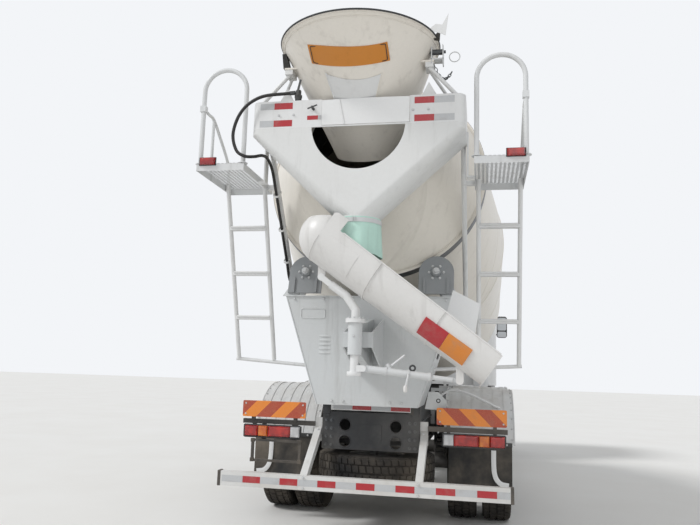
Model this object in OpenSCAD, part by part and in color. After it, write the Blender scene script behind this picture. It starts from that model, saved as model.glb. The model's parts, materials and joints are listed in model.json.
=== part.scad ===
// Concrete mixer truck, 6x4, cab over engine, about 9.7 m long.
// Units are millimetres. +X is the truck's right, +Y is forward, +Z is up.
// Stations along the truck are counted from the rear face of the underrun bar, and the
// whole model is then moved so that the middle of its box stands on the origin.

/* [Wheels and axles] */
// Outer diameter of a tyre
tyre_d = 1070; // [1000:10:1120]
// Width of a tyre
tyre_w = 280; // [260:5:300]
// Diameter of the wheel rim under the tyre's bead
rim_d = 520; // [500:5:560]
// Station of the last axle
axle_rear_y = 1750; // [1700:10:1800]
// Distance between the two driven axles
bogie_base = 1350; // [1310:10:1400]
// Distance from the middle axle to the steered axle
wheelbase = 4000; // [3800:50:4200]
// Distance between the middles of the two steered wheels
front_track = 2040; // [2000:10:2060]
// Distance between the middles of the outer and inner tyres of a twin wheel
twin_pitch = 330; // [320:5:340]
// Distance from the truck's middle to the middle of a twin wheel
twin_x = 930; // [920:5:940]
// Distance from a kingpin outward to the middle of its wheel
kingpin_offset = 180; // [170:5:190]

/* [Chassis] */
// Width over the two frame rails
frame_w = 865; // [850:5:880]
// Height of a frame rail
rail_h = 300; // [280:5:320]
// Thickness of a frame rail's metal
rail_t = 10; // [8:1:14]
// Width of a frame rail's flange
rail_flange = 80; // [70:5:90]
// Height of the frame rails' top above the road
frame_top = 1040; // [1020:10:1060]
// Station of the frame's rear end
frame_rear = 480; // [440:10:520]
// Height of the drum's own sub-frame on the rails
subframe_h = 90; // [80:5:110]

/* [Rear end] */
// Length of the underrun bar
bar_w = 2390; // [2300:10:2420]
// Height of the underrun bar's section
bar_h = 115; // [100:5:130]
// Height of the underrun bar's middle above the road
bar_z = 512; // [490:2:540]
// Half width of the rear pedestal's top
pedestal_half = 740; // [700:10:760]
// Height of the rear pedestal's top above the road
pedestal_top = 2060; // [2030:10:2070]
// Station of the rear pedestal's rear plate
pedestal_y = 220; // [200:10:260]
// Depth of the rear pedestal along the truck
pedestal_depth = 660; // [600:10:700]

/* [Drum] */
// Height of the drum axis at the roller track
track_z = 3197; // [3190:1:3205]
// Station of the roller track
track_y = 550; // [540:5:560]
// Outer radius of the roller track
track_r = 1000; // [990:1:1005]
// Tilt of the drum axis
drum_tilt = 13; // [12:0.5:14]
// Radius of the drum's barrel
barrel_r = 1190; // [1150:5:1200]
// Radius of the drum's mouth
mouth_r = 500; // [480:5:520]
// Thickness of the drum's steel
drum_t = 8; // [6:1:12]
// Radius of a support roller
roller_r = 125; // [120:1:135]
// Angle of a support roller from straight below the drum axis
roller_angle = 30.7; // [29:0.1:32]

/* [Hoppers] */
// Radius of the feed hopper's rim
feed_rim_r = 620; // [590:5:640]
// Height of the feed hopper's rim above the road
feed_rim_z = 3970; // [3940:5:3990]
// Station of the middle of the feed hopper's rim
feed_rim_y = -500; // [-520:5:-480]
// Thickness of the hoppers' sheet steel
sheet_t = 6; // [5:1:8]
// Station of the cross beam's rear face
beam_y = -630; // [-650:5:-620]
// Half length of the cross beam
beam_half = 840; // [820:5:860]
// Height of the cross beam's lower edge above the road
beam_low = 3285; // [3270:5:3300]
// Height of the cross beam's section
beam_h = 225; // [200:5:240]
// Radius of the rubber sleeve under the collection hopper
sleeve_r = 185; // [175:1:188]

/* [Chute] */
// Sideways place of the chute's post
post_x = 15; // [0:1:30]
// Station of the chute's post
post_y = -460; // [-480:5:-450]
// Slope of the stowed chute below level
chute_slope = 35; // [34:0.5:37]
// Inner radius of the chute's round bottom
chute_r = 205; // [200:1:215]
// Height of the chute's straight sides above its round bottom
chute_side = 100; // [80:5:120]
// Thickness of the chute's steel
chute_t = 6; // [5:1:8]
// Radius of the chute's post
post_r = 32; // [28:1:36]

/* [Steps and platforms] */
// Height of the platforms above the road
platform_z = 3030; // [3000:10:3060]
// Distance from the truck's middle to a platform's outer edge
platform_out = 1300; // [1260:5:1310]
// Distance from the truck's middle to a platform's inner edge
platform_in = 900; // [890:5:920]
// Radius of the hoop handrails' tube
hoop_r = 19; // [16:1:22]

/* [Cab] */
// Width of the cab
cab_w = 2400; // [2300:10:2440]
// Station of the cab's rear wall
cab_back = 6520; // [6480:10:6560]
// Length of the cab at its widest
cab_l = 2020; // [1980:10:2060]
// Height of the cab's floor above the road
cab_floor = 1290; // [1270:5:1310]
// Height of the cab's roof above the road
cab_roof = 3020; // [2980:10:3080]
// Thickness of the cab's walls and doors
cab_wall = 50; // [40:2:60]
// Gap round a door
door_gap = 6; // [5:1:8]

/* [Hidden] */

$fn = 48;
// Gap between faces that almost touch, and between a shaft and its bore
eps = 0.3;
run = 0.05;
bumper_wall = 50;
rim_lip = 10;
hub_r = 150;
spindle_r = 55;
kingpin_r = 28;
tyre_r = tyre_d / 2;
kingpin_x = front_track / 2 - kingpin_offset;
rim_r = rim_d / 2;
axle_mid_y = axle_rear_y + bogie_base;
axle_front_y = axle_mid_y + wheelbase;
rail_x = frame_w / 2;
frame_low = frame_top - rail_h;
sub_top = frame_top + subframe_h;
cab_front = cab_back + cab_l;
bumper_front = cab_front + 40;
frame_front = bumper_front - bumper_wall;
rear_most = feed_rim_y - feed_rim_r - rim_lip;
cab_low = cab_floor - 60;
y_mid = (bumper_front + rear_most) / 2;

// Small helpers for profiles and tubes
module along_x(x0, x1) translate([x0, 0, 0]) rotate([90, 0, 90]) linear_extrude(x1 - x0) children();
module along_y(y0, y1) translate([0, y1, 0]) rotate([90, 0, 0]) linear_extrude(y1 - y0) children();
module along_z(z0, z1) translate([0, 0, z0]) linear_extrude(z1 - z0) children();
module box(x0, x1, y0, y1, z0, z1) translate([x0, y0, z0]) cube([x1 - x0, y1 - y0, z1 - z0]);
module both_sides() {
  children();
  mirror([1, 0, 0]) children();
}
module rod(p, q, r, turn = 0) {
  d = q - p;
  h = norm(d);
  translate(p) rotate([0, acos(d.z / h), atan2(d.y, d.x)]) rotate([0, 0, turn]) cylinder(h = h, r = r);
}
module bent_rod(points, r) {
  for (i = [0:len(points) - 2]) rod(points[i], points[i + 1], r);
  for (i = [1:len(points) - 2]) translate(points[i]) sphere(r);
}
module round_rect(w, h, r) {
  square([w - 2 * r, h], center = true);
  square([w, h - 2 * r], center = true);
  for (x = [-1, 1], y = [-1, 1]) translate([x * (w / 2 - r), y * (h / 2 - r)]) circle(r);
}

// A smooth tube through points: a cubic between each two, and a ring of the tube at each step
function on_curve(a, b, c, d, t) = 0.5 * (2 * b + (c - a) * t + (2 * a - 5 * b + 4 * c - d) * t * t
  + (3 * b - a - 3 * c + d) * t * t * t);
function smooth(p, n) = concat([for (i = [0:len(p) - 2], k = [0:n - 1])
  on_curve(p[max(i - 1, 0)], p[i], p[i + 1], p[min(i + 2, len(p) - 1)], k / n)], [p[len(p) - 1]]);
function unit(v) = v / norm(v);
function ring(p, i, r, sides) = let (
  along = unit(p[min(i + 1, len(p) - 1)] - p[max(i - 1, 0)]),
  side = unit(cross(along, [0.5, -0.6, 0.6])),
  up = cross(along, side))
  [for (k = [0:sides - 1]) p[i] + r * (side * cos(360 * k / sides) + up * sin(360 * k / sides))];
module smooth_tube(points, r, n, sides) {
  p = smooth(points, n);
  last = len(p) - 1;
  polyhedron(
    points = [for (i = [0:last]) each ring(p, i, r, sides)],
    faces = concat(
      [[for (k = [0:sides - 1]) k]],
      [for (i = [0:last - 1], k = [0:sides - 1]) let (m = (k + 1) % sides)
        [i * sides + k, (i + 1) * sides + k, (i + 1) * sides + m, i * sides + m]],
      [[for (k = [sides - 1:-1:0]) last * sides + k]]));
}

// Frames of reference
module drum_frame() translate([0, track_y, track_z]) rotate([-90 - drum_tilt, 0, 0]) children();
module roller_frame(side) drum_frame() rotate([0, 0, 90 + side * roller_angle])
  translate([track_r + roller_r + eps, 0, 0]) children();

// Chassis
module rail_section() polygon([
  [rail_x, frame_low], [rail_x, frame_top], [rail_x - rail_flange, frame_top],
  [rail_x - rail_flange, frame_top - rail_t], [rail_x - rail_t, frame_top - rail_t],
  [rail_x - rail_t, frame_low + rail_t], [rail_x - rail_flange, frame_low + rail_t],
  [rail_x - rail_flange, frame_low]]);
member_y = [1050, 2425, 3900, 5200, 6000, frame_front - 280];
plate_t = 10;
cab_pivot = [cab_front - 70, 1105];
module cab_pivot_hole(r) translate([0, cab_pivot[0], cab_pivot[1]]) rotate([0, 90, 0])
  cylinder(h = 2000, r = r, center = true);
module cab_ear(x0, x1, z0) along_x(x0, x1) translate(cab_pivot) {
  circle(32);
  translate([-32, z0]) square([64, abs(z0)]);
}
module chassis_frame() color("dimgray") {
  both_sides() along_y(frame_rear, frame_front) rail_section();
  for (y = member_y) {
    box(-rail_x + rail_t, rail_x - rail_t, y, y + 8, frame_low + 60, frame_top - 60);
    box(-rail_x + rail_t, rail_x - rail_t, y, y + 70, frame_low + 60, frame_low + 68);
  }
  both_sides() box(rail_x - rail_flange, rail_x, frame_rear, 6300, frame_top, sub_top);
  difference() {
    box(-rail_x + 5, rail_x - 5, frame_rear - 12, frame_rear, frame_low, frame_top + 20);
    for (x = [-225, 225], z = [frame_low + 70, frame_low + 210])
      translate([x, frame_rear, z]) rotate([90, 0, 0]) cylinder(h = 40, r = 48, center = true);
  }
  both_sides() box(365, 418, frame_rear - 20, frame_rear, frame_top - 20, 1190);
  // Carrier of the spare wheel
  box(-rail_x + 5, rail_x - 5, spare_y - 25, spare_y + 25, frame_low + 12, frame_low + 50);
  translate([0, spare_y, spare_z + spare_dish]) cylinder(h = frame_low + 20 - spare_z - spare_dish,
    r = 14);
  // Towing eyes under the front of the rails
  both_sides() difference() {
    box(rail_x - 50, rail_x - 30, frame_front - 130, frame_front - 30, frame_low - 100, frame_low + 3);
    translate([rail_x - 100, frame_front - 80, frame_low - 50]) rotate([0, 90, 0]) cylinder(h = 100,
      r = 21);
  }
  // Ears and pins on which the cab tilts
  both_sides() {
    for (x = [rail_x - 78, rail_x - 26]) cab_ear(x, x + 16, frame_top - 5 - cab_pivot[1]);
    translate([rail_x - 80, cab_pivot[0], cab_pivot[1]]) rotate([0, 90, 0]) cylinder(h = 72, r = 15);
  }
}

// Underrun bar: a channel open to the front with its two slanted struts
module rear_underrun() color("white") {
  difference() {
    box(-bar_w / 2, bar_w / 2, 0, 60, bar_z - bar_h / 2, bar_z + bar_h / 2);
    box(-bar_w / 2 + 4, bar_w / 2 - 4, 4, 70, bar_z - bar_h / 2 + 4, bar_z + bar_h / 2 - 4);
  }
  both_sides() along_x(rail_x + 8, 500) polygon([[3, bar_z - 30], [3, bar_z + 45],
    [frame_rear + 60, 955], [frame_rear + 60, 860]]);
  both_sides() box(rail_x, 500, frame_rear + 20, frame_rear + 60, 800, 1000);
}

// Tail lamps at the back and head lamps in the bumper
lamp_z = 862;
lamp_x = 890;
lamp_h = 105;
lamp_y = 465;
lamp_depth = 52;
module head_lamp_place(s) translate([s * 900, bumper_front, 720]) rotate([90, 0, 0]) children();
module lamps() color("firebrick") {
  for (s = [-1, 1]) translate([s * lamp_x, lamp_y + lamp_depth, lamp_z]) rotate([90, 0, 0])
    linear_extrude(lamp_depth) round_rect(520, lamp_h, 14);
  for (s = [-1, 1]) head_lamp_place(s) linear_extrude(bumper_wall + 30) round_rect(400, 190, 40);
}

// Boards with slanted stripes, their brackets, and the bare plate frame
board_x = 870;
board_z = 1058;
carrier_y = 480;
carrier_z = [925, 965];
module marker_boards() color("orangered") {
  for (s = [-1, 1]) {
    box(s * board_x - 290, s * board_x + 290, 440, 446, board_z - 68, board_z + 68);
    for (x = [-210, 180]) {
      box(s * board_x + x, s * board_x + x + 30, 446, carrier_y, carrier_z[1] - 5, board_z + 40);
      box(s * board_x + x, s * board_x + x + 30, carrier_y, lamp_y + lamp_depth, lamp_z + lamp_h / 2,
        carrier_z[0]);
    }
  }
  both_sides() box(500, 1170, carrier_y, carrier_y + 40, carrier_z[0], carrier_z[1]);
  box(-360, 360, frame_rear - 26, frame_rear - 20, 1075, 1178);
  both_sides() box(340, 380, frame_rear - 26, frame_rear - 20, 1060, 1184);
  difference() {
    box(-1070, -610, 440, 458, 600, 795);
    box(-1045, -635, 430, 470, 620, 775);
  }
  for (x = [-1000, -720]) {
    box(x, x + 40, lamp_y + lamp_depth + eps, lamp_y + lamp_depth + 8, 776, carrier_z[1]);
    box(x, x + 40, 450, lamp_y + lamp_depth + 8, 776, 782);
  }
}

// Mudguards: one double arch a side over the twin wheels, on arms from the frame
guard_r = 735;
guard_t = 6;
guard_in = 610;
guard_out = 1250;
guard_end = 790;
module guard_arch(y, r) translate([y, tyre_r]) circle(r, $fn = 64);
guard_rib = 6;
module guard_profile(rise) difference() {
  union() {
    guard_arch(axle_rear_y, guard_r + rise);
    guard_arch(axle_mid_y, guard_r + rise);
  }
  guard_arch(axle_rear_y, guard_r - guard_t);
  guard_arch(axle_mid_y, guard_r - guard_t);
  translate([0, -400]) square([6000, guard_end + 400]);
}
module rear_mudguards() color("whitesmoke") both_sides() {
  along_x(guard_in, guard_out) guard_profile(0);
  // Raised flutes that stiffen the sheet
  for (x = [guard_in + 50:100:guard_out - 60]) along_x(x, x + 46) guard_profile(guard_rib);
  for (y = [axle_rear_y, axle_mid_y]) {
    box(rail_x, guard_out - 30, y - 30, y + 30, tyre_r + guard_r - 34, tyre_r + guard_r - 4);
    box(rail_x, rail_x + 40, y - 30, y + 30, 900, tyre_r + guard_r - 4);
  }
  box(650, 1230, flap_y, axle_rear_y - 640, guard_end + 2, guard_end + 20);
}

flap_y = 1040;
module mudflaps() color("dimgray") both_sides() {
  box(650, 1230, flap_y - 8, flap_y, 420, guard_end + 20);
}

// Rear pedestal: a tapered box over the frame's end, hollowed below the drum, with the forks of
// the rollers, the seats of the portal's posts and the bearing of the chute's post
function pedestal_side(z) = rail_x + (pedestal_half - rail_x) * (z - sub_top) / (pedestal_top - sub_top);
module pedestal_outline(inset) {
  low = sub_top - (inset > 0 ? 5 : 0);
  high = pedestal_top - inset;
  polygon([[-pedestal_side(low) + inset, low], [-pedestal_side(high) + inset, high],
    [pedestal_side(high) - inset, high], [pedestal_side(low) - inset, low]]);
}
module roller_fork(side) difference() {
  roller_frame(side) for (z = [-66, 54]) translate([0, 0, z]) linear_extrude(12) difference() {
    union() {
      circle(58);
      translate([0, -58]) square([340, 116]);
    }
    circle(28 + run);
  }
  box(-1000, 1000, -500, 1500, 1500, pedestal_top - 5);
}
module drum_clear(gap) drum_frame() rotate_extrude($fn = 96) polygon([[0, -60], [track_r + gap, -60],
  [track_r + gap, 60], [track_r + gap, 160], [barrel_r + gap, 1500], [0, 1500]]);
foot_z = pedestal_top - 130;
module rear_pedestal() color("lightgray") {
  difference() {
    union() {
      difference() {
        along_y(pedestal_y, pedestal_y + pedestal_depth) pedestal_outline(0);
        along_y(pedestal_y + plate_t, pedestal_y + pedestal_depth - plate_t) pedestal_outline(plate_t);
        along_x(-900, 900) translate([pedestal_y + 340, 1710]) round_rect(380, 340, 110);
        along_y(pedestal_y + pedestal_depth - 20, pedestal_y + pedestal_depth + 20)
          translate([0, 1500]) round_rect(560, 420, 110);
      }
      for (s = [-1, 1]) roller_fork(s);
      both_sides() {
        box(pedestal_half - 40, post_out + 50, post_foot_y - 50, post_foot_y + 50, pedestal_top - 12,
          pedestal_top);
        along_y(post_foot_y - 6, post_foot_y + 6) polygon([[pedestal_side(foot_z) - 6, foot_z],
          [post_out + 50, pedestal_top - 12], [pedestal_half - 6, pedestal_top - 12]]);
      }
    }
    drum_clear(25);
    for (s = [-1, 1]) roller_frame(s) translate([0, 0, -54]) cylinder(h = 108, r = roller_r + 15);
  }
  // Gland that takes the end of the water hose
  translate(hose_end) difference() {
    cylinder(h = 30, r = hose_r + 11);
    translate([0, 0, 1]) cylinder(h = 50, r = hose_r + 2);
  }
  both_sides() box(rail_x - rail_flange, rail_x, frame_rear, pedestal_y + pedestal_depth, sub_top,
    sub_top + plate_t);
  difference() {
    union() {
      translate([post_x, post_y, 1540]) cylinder(h = 240, r = post_r + 22);
      along_x(post_x - 30, post_x + 30) polygon([[post_y + 20, 1560], [post_y + 20, 1760],
        [pedestal_y + 2, 1860], [pedestal_y + 2, 1420]]);
      for (x = [-120, 108]) along_x(post_x + x, post_x + x + 12) polygon([[post_y + 120, 1600],
        [post_y + 120, 1720], [pedestal_y + 2, 1860], [pedestal_y + 2, 1420]]);
      box(post_x - 120, post_x + 120, post_y + 120, post_y + 132, 1600, 1720);
    }
    translate([post_x, post_y, 1000]) cylinder(h = 1200, r = post_r + run);
  }
}

module support_roller(side) roller_frame(side) {
  translate([0, 0, -48]) cylinder(h = 96, r = roller_r);
  translate([0, 0, -80]) cylinder(h = 160, r = 28);
}
module roller_l() color("slategray") support_roller(1);
module roller_r_node() color("slategray") support_roller(-1);

// Drum: sections along its axis from the mouth forward, as [distance from the track, outer radius]
drum_sections = [
  [-720, mouth_r], [-60, track_r - 30], [60, track_r - 15], [1500, barrel_r], [3400, barrel_r],
  [4620, 860], [4900, 480], [4960, 250]];
module drum() color("gainsboro") drum_frame() {
  rotate_extrude($fn = 96) polygon(concat(
    [for (p = drum_sections) [p[1], p[0]]],
    [[0, 4960], [0, 4960 - drum_t]],
    [for (i = [len(drum_sections) - 1:-1:0]) [drum_sections[i][1] - drum_t * 1.15, drum_sections[i][0]
      - (i > 4 ? drum_t : 0)]]));
  rotate_extrude($fn = 96) polygon([[track_r - 45, -45], [track_r, -45], [track_r, 45], [track_r - 45,
    45]]);
  rotate_extrude($fn = 96) polygon([[mouth_r - 12, -730], [mouth_r + 22, -730], [mouth_r + 22, -700],
    [mouth_r - 12, -700]]);
}

// Feed hopper: a wide rim that narrows down and forward into the drum's mouth
spout_y = 0;
spout_z = 3260;
spout_r = 270;
stay_top = [550, feed_rim_y - 60, 3790];
module funnel(inset) hull() {
  translate([0, feed_rim_y, feed_rim_z - 1 + (inset > 0 ? 5 : 0)]) cylinder(h = 1,
    r = feed_rim_r - inset, $fn = 64);
  translate([0, spout_y, spout_z]) rotate([31, 0, 0]) translate([0, 0, (inset > 0 ? -6 : 0)])
    cylinder(h = 1, r = spout_r - inset, $fn = 64);
}
// The hopper's front wall stands close behind the drum's mouth, and its spout goes into it
front_wall = -765;
neck_r = mouth_r - 45;
chord_y = -62;
module hopper_space(inset) intersection() {
  funnel(inset);
  drum_frame() union() {
    translate([-1000, -1500, front_wall - inset - 2000]) cube([2000, 3000, 2000]);
    translate([0, 0, front_wall - 200]) cylinder(h = 800, r = neck_r - inset);
  }
}
module rim_outline(grow) intersection() {
  translate([0, feed_rim_y]) circle(feed_rim_r + grow, $fn = 96);
  translate([-1000, -2000]) square([2000, 2000 + chord_y + grow]);
}
module feed_hopper() color("antiquewhite") {
  difference() {
    union() {
      hopper_space(0);
      both_sides() box(stay_top.x - 130, stay_top.x + 46, stay_top.y - 38, stay_top.y + 98, stay_top.z,
        stay_top.z + 14);
    }
    hopper_space(sheet_t);
  }
  along_z(feed_rim_z - 12, feed_rim_z) difference() {
    rim_outline(rim_lip);
    rim_outline(-8);
  }
}

// Outline of the cross beam, which the collection hopper's collar follows
beam_depth = 480;
module beam_outline(inset, depth) intersection() {
  translate([0, beam_y + 300]) round_rect(2 * (beam_half - inset), 600 - 2 * inset, 70 - inset);
  translate([-1000, beam_y]) square([2000, depth]);
}

// Collection hopper: a steep trough that gathers the concrete from the drum's mouth
outlet_z = 2580;
collar_h = 40;
module trough(inset) hull() {
  translate([0, 0, beam_low - collar_h - 1]) linear_extrude(inset > 0 ? 2 : 1) beam_outline(inset,
    420 - inset);
  translate([post_x, post_y, outlet_z - (inset > 0 ? 4 : 0)]) cylinder(h = 1, r = sleeve_r - 12 - inset,
    $fn = 40);
}
module mouth_clear() drum_frame() rotate_extrude($fn = 96)
  polygon([[0, -760], [mouth_r + 60, -760], [track_r, -60], [track_r, 400], [0, 400]]);
module collection_hopper() color("lightgray") {
  difference() {
    union() {
      difference() {
        trough(0);
        trough(sheet_t);
      }
      along_z(beam_low - collar_h, beam_low) difference() {
        beam_outline(0, beam_depth);
        beam_outline(sheet_t, beam_depth + 10);
      }
    }
    mouth_clear();
    translate([20, beam_y - 100, beam_low + 25]) rotate([-90, 0, 0]) cylinder(h = 300, r = 368);
  }
  translate([post_x, post_y, outlet_z - 60]) difference() {
    cylinder(h = 62, r = sleeve_r - 12);
    translate([0, 0, -1]) cylinder(h = 64, r = sleeve_r - 12 - sheet_t);
  }
}

module rubber_sleeve() color("mediumaquamarine") translate([post_x, post_y, outlet_z]) difference() {
  translate([0, 0, -300]) cylinder(h = 290, r = sleeve_r);
  translate([0, 0, -301]) cylinder(h = 302, r = sleeve_r - 12 + eps);
}

// Portal: the cross beam round the hoppers, its leaning posts and the feed hopper's stays
post_out = 810;
post_tube = 22;
post_foot_y = 760;
post_foot = [post_out, post_foot_y, pedestal_top];
post_head = [post_out, beam_y + 400, beam_low + 60];
arm_y = 44;
// Stays as [sideways place of the foot, station, shift of the top sideways and along, radius]
stays = [[778, beam_y + 47, 0, 0, 16], [778, beam_y + 395, 0, 60, 13]];
module portal() color("white") {
  difference() {
    union() {
      along_z(beam_low, beam_low + beam_h) difference() {
        beam_outline(0, beam_depth);
        beam_outline(sheet_t, beam_depth + 10);
      }
      along_z(beam_low + beam_h - sheet_t, beam_low + beam_h) difference() {
        beam_outline(0, beam_depth);
        beam_outline(60, beam_depth + 10);
      }
    }
    box(-270, 420, beam_y - 20, beam_y + 100, beam_low + 12, beam_low + beam_h + 10);
  }
  translate(tap - [0, 0, 3]) cylinder(h = 100, r = 16);
  rod(hose_points[0] + 26 * nozzle, hose_points[0] + 2 * nozzle, 9);
  both_sides() {
    rod(post_foot + [0, 0, 20], post_head, post_tube);
    translate(post_foot) cylinder(h = 30, r = 45);
    box(post_out - 40, beam_half - 3, post_head.y - 10, beam_y + beam_depth, beam_low, beam_low + 120);
    // Arms that carry the platform
    box(post_out, platform_in, arm_y - 20, arm_y + 20, platform_z - 55, platform_z - 15);
    box(beam_half - 1, beam_half + 12, post_head.y, beam_y + beam_depth, beam_low, beam_low + 60);
    box(beam_half, beam_half + 12, post_head.y, beam_y + beam_depth, platform_z - 60, beam_low);
    box(beam_half, platform_in, post_head.y, beam_y + beam_depth, platform_z - 60, platform_z - 48);
    // Stays of the feed hopper, between blocks in the beam's top and under the hopper's lugs
    for (stay = stays) {
      foot = [stay[0], stay[1], beam_low + beam_h - 5];
      top = stay_top + [stay[2], stay[3], -20];
      box(foot.x - 28, foot.x + 27, foot.y - 25, foot.y + 25, foot.z - 20, foot.z + 13);
      box(top.x - 20, top.x + 42, top.y - 34, top.y + 34, top.z - 20, stay_top.z);
      rod(foot, top, stay[4], 50);
    }
  }
}

// Platforms beside the hoppers with their hoop handrails
hoop_y = -560;
hoop_top = 3830;
side_rail_r = 13;
module hoop() {
  half = (platform_out - platform_in) / 2 - hoop_r;
  translate([(platform_in + platform_out) / 2, hoop_y, hoop_top - half]) rotate([90, 0, 0])
    rotate_extrude(angle = 180) translate([half, 0]) circle(hoop_r, $fn = 20);
  for (x = [platform_in + hoop_r, platform_out - hoop_r])
    translate([x, hoop_y, platform_z - 3]) cylinder(h = hoop_top - half - platform_z + 4, r = hoop_r);
}
module platforms() color("whitesmoke") both_sides() {
  box(platform_in, platform_out, -590, 180, platform_z - 5, platform_z);
  difference() {
    box(platform_in, platform_out, -590, 180, platform_z - 60, platform_z - 5);
    box(platform_in + 4, platform_out - 4, -586, 176, platform_z - 70, platform_z);
  }
  hoop();
  // Side rail from the hoop's outer leg down to the deck, with one upright, between small blocks
  rail_out = platform_out - hoop_r;
  box(rail_out - 24, rail_out + 24, hoop_y - 24, hoop_y + 24, 3475, 3525);
  bent_rod([[rail_out, hoop_y, 3500], [rail_out, -345, 3490], [rail_out, -30, 3270], [rail_out, 70,
    platform_z + 10]],
    side_rail_r);
  box(rail_out - 19, rail_out + 19, 46, 94, platform_z - 2, platform_z + 22);
  translate([rail_out, -345, platform_z - 2]) cylinder(h = 520 - 60, r = side_rail_r);
}

// Ladders leaning from under the platforms to a bar on the pedestal's side
ladder_top = [0, 50, platform_z - 60];
ladder_low = [0, 560, 1500];
rung_step = 0.265;
rung_first = 0.218;
module ladders() color("whitesmoke") both_sides() difference() {
  union() {
    for (x = [930, 1270])
      rod([x, ladder_low.y, ladder_low.z], [x, ladder_top.y - 40, ladder_top.z + 115], 19);
    for (k = [0:2]) translate(ladder_low + (1 - rung_first - k * rung_step) * (ladder_top - ladder_low)
      + [1100, 0, 0])
      cube([340, 60, 28], center = true);
    rod([1294, ladder_low.y + 4, ladder_low.z + 1.5], [500, ladder_low.y + 4, ladder_low.z - 50], 16);
  }
  box(0, 2000, -1000, 1000, platform_z - 5, platform_z + 500);
  along_y(pedestal_y, pedestal_y + pedestal_depth) pedestal_outline(0);
}

// Chute: a deep half pipe with a closed rounded head. It hangs on a pivot of the yoke, whose post
// turns under the sleeve, and a screw jack holds its lower part.
pivot = [-260, post_y, 2130];
jack_pin = [800, post_y, 1372];
jack_base = [85, post_y, 1440];
pin_r = 15;
jack_pin_r = 10;
chute_z = 2010;
chute_out = chute_r + chute_t;
head_s = -450;
chute_end = 1150;
module across(p, w) translate([p.x, p.y, p.z]) rotate([90, 0, 0]) linear_extrude(w, center = true)
  children();
module chute_section(r) {
  circle(r);
  translate([-r, 0]) square([2 * r, 500]);
}
module chute_frame() translate([post_x, post_y, chute_z]) rotate([0, chute_slope, 0])
  rotate([0, 90, 0]) rotate([0, 0, 90]) translate([0, chute_r, 0]) children();
module chute_body(r, s1) {
  translate([0, 0, head_s]) linear_extrude(s1 - head_s) chute_section(r);
  translate([0, 0, head_s]) sphere(r);
}
module chute_lugs() {
  across(pivot, 24) {
    circle(2 * pin_r);
    translate([-2 * pin_r, 0]) square([4 * pin_r, 150]);
  }
  for (s = [-1, 1]) translate([0, s * 20, 0]) across(jack_pin, 12) {
    circle(28);
    translate([-28, 0]) square([56, 140]);
  }
  across(jack_pin, 52) circle(jack_pin_r);
}
module main_chute() color("lightgray") difference() {
  union() {
    chute_frame() {
      chute_body(chute_out, chute_end);
      translate([0, 0, chute_end - 10]) linear_extrude(10) chute_section(chute_out + 20);
      for (s = [60, 640]) translate([0, 0, s]) linear_extrude(12) chute_section(chute_out + 8);
    }
    chute_lugs();
  }
  across(pivot, 60) circle(pin_r + run);
  chute_frame() {
    chute_body(chute_r, chute_end + 10);
    translate([-400, chute_side, -330]) rotate([2.2, 0, 0]) cube([800, 900, 2500]);
    translate([-400, chute_r, -800]) cube([800, 900, 1000]);
  }
  // Room for the sleeve, above the middle of the round bottom only
  intersection() {
    translate([post_x, post_y, 2200]) cylinder(h = 700, r = sleeve_r + 45);
    box(-1000, 1000, post_y - chute_r + 1, post_y + chute_r - 1, 2100, 3000);
    chute_frame() translate([-400, 0, -1000]) cube([800, 900, 2000]);
  }
  // The head's top stays below the collection hopper
  box(-1000, 400, post_y - 400, post_y + 400, outlet_z + 10, 3000);
}

module chute_yoke() color("whitesmoke") {
  translate([post_x, post_y, 1400]) cylinder(h = 440, r = post_r);
  translate([post_x, post_y, 1780 + eps]) cylinder(h = 30, r = 75);
  bent_rod([[post_x, post_y, 1810], [post_x, post_y, 1880], [post_x - 75, post_y, 1985],
    [pivot.x + 75, post_y, pivot.z - 58]], post_r);
  for (s = [-1, 1]) translate([0, s * 20, 0]) {
    across(pivot, 12) circle(28);
    across(pivot, 12) rotate(-38) translate([0, -22]) square([95, 44]);
    across(jack_base, 12) circle(24);
    across(jack_base, 12) translate([-70, -24]) square([70, 48]);
  }
  across(pivot, 52) circle(pin_r);
  across(jack_base, 52) circle(jack_pin_r);
}

// Screw jack: a tube on the post and a rod that runs out of it to the pin under the chute
jack_a = atan2(jack_base.z - jack_pin.z, jack_pin.x - jack_base.x);
jack_l = norm(jack_pin - jack_base);
jack_eye = jack_pin_r + 10;
module jack_frame() translate(jack_base) rotate([0, jack_a, 0]) children();
module jack_tube() color("silver") jack_frame() {
  difference() {
    union() {
      translate([12, 0, 0]) rotate([0, 90, 0]) cylinder(h = 500, r = 28);
      rotate([90, 0, 0]) cylinder(h = 25, r = 24, center = true);
    }
    rotate([90, 0, 0]) cylinder(h = 80, r = jack_pin_r + run, center = true);
    translate([280, 0, 0]) rotate([0, 90, 0]) cylinder(h = 400, r = 18 + run);
    for (s = [-1, 1]) translate([0, s * 38, 0]) cube([80, 50, 80], center = true);
  }
}
module jack_rod() color("silver") jack_frame() difference() {
  union() {
    translate([330, 0, 0]) rotate([0, 90, 0]) cylinder(h = jack_l - 380, r = 18);
    translate([jack_l, 0, 0]) rotate([90, 0, 0]) cylinder(h = 20, r = jack_eye + 10, center = true);
    translate([jack_l - 60, -10, -14]) cube([50, 20, 28]);
  }
  translate([jack_l, 0, 0]) rotate([90, 0, 0]) cylinder(h = 80, r = jack_eye, center = true);
}

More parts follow.
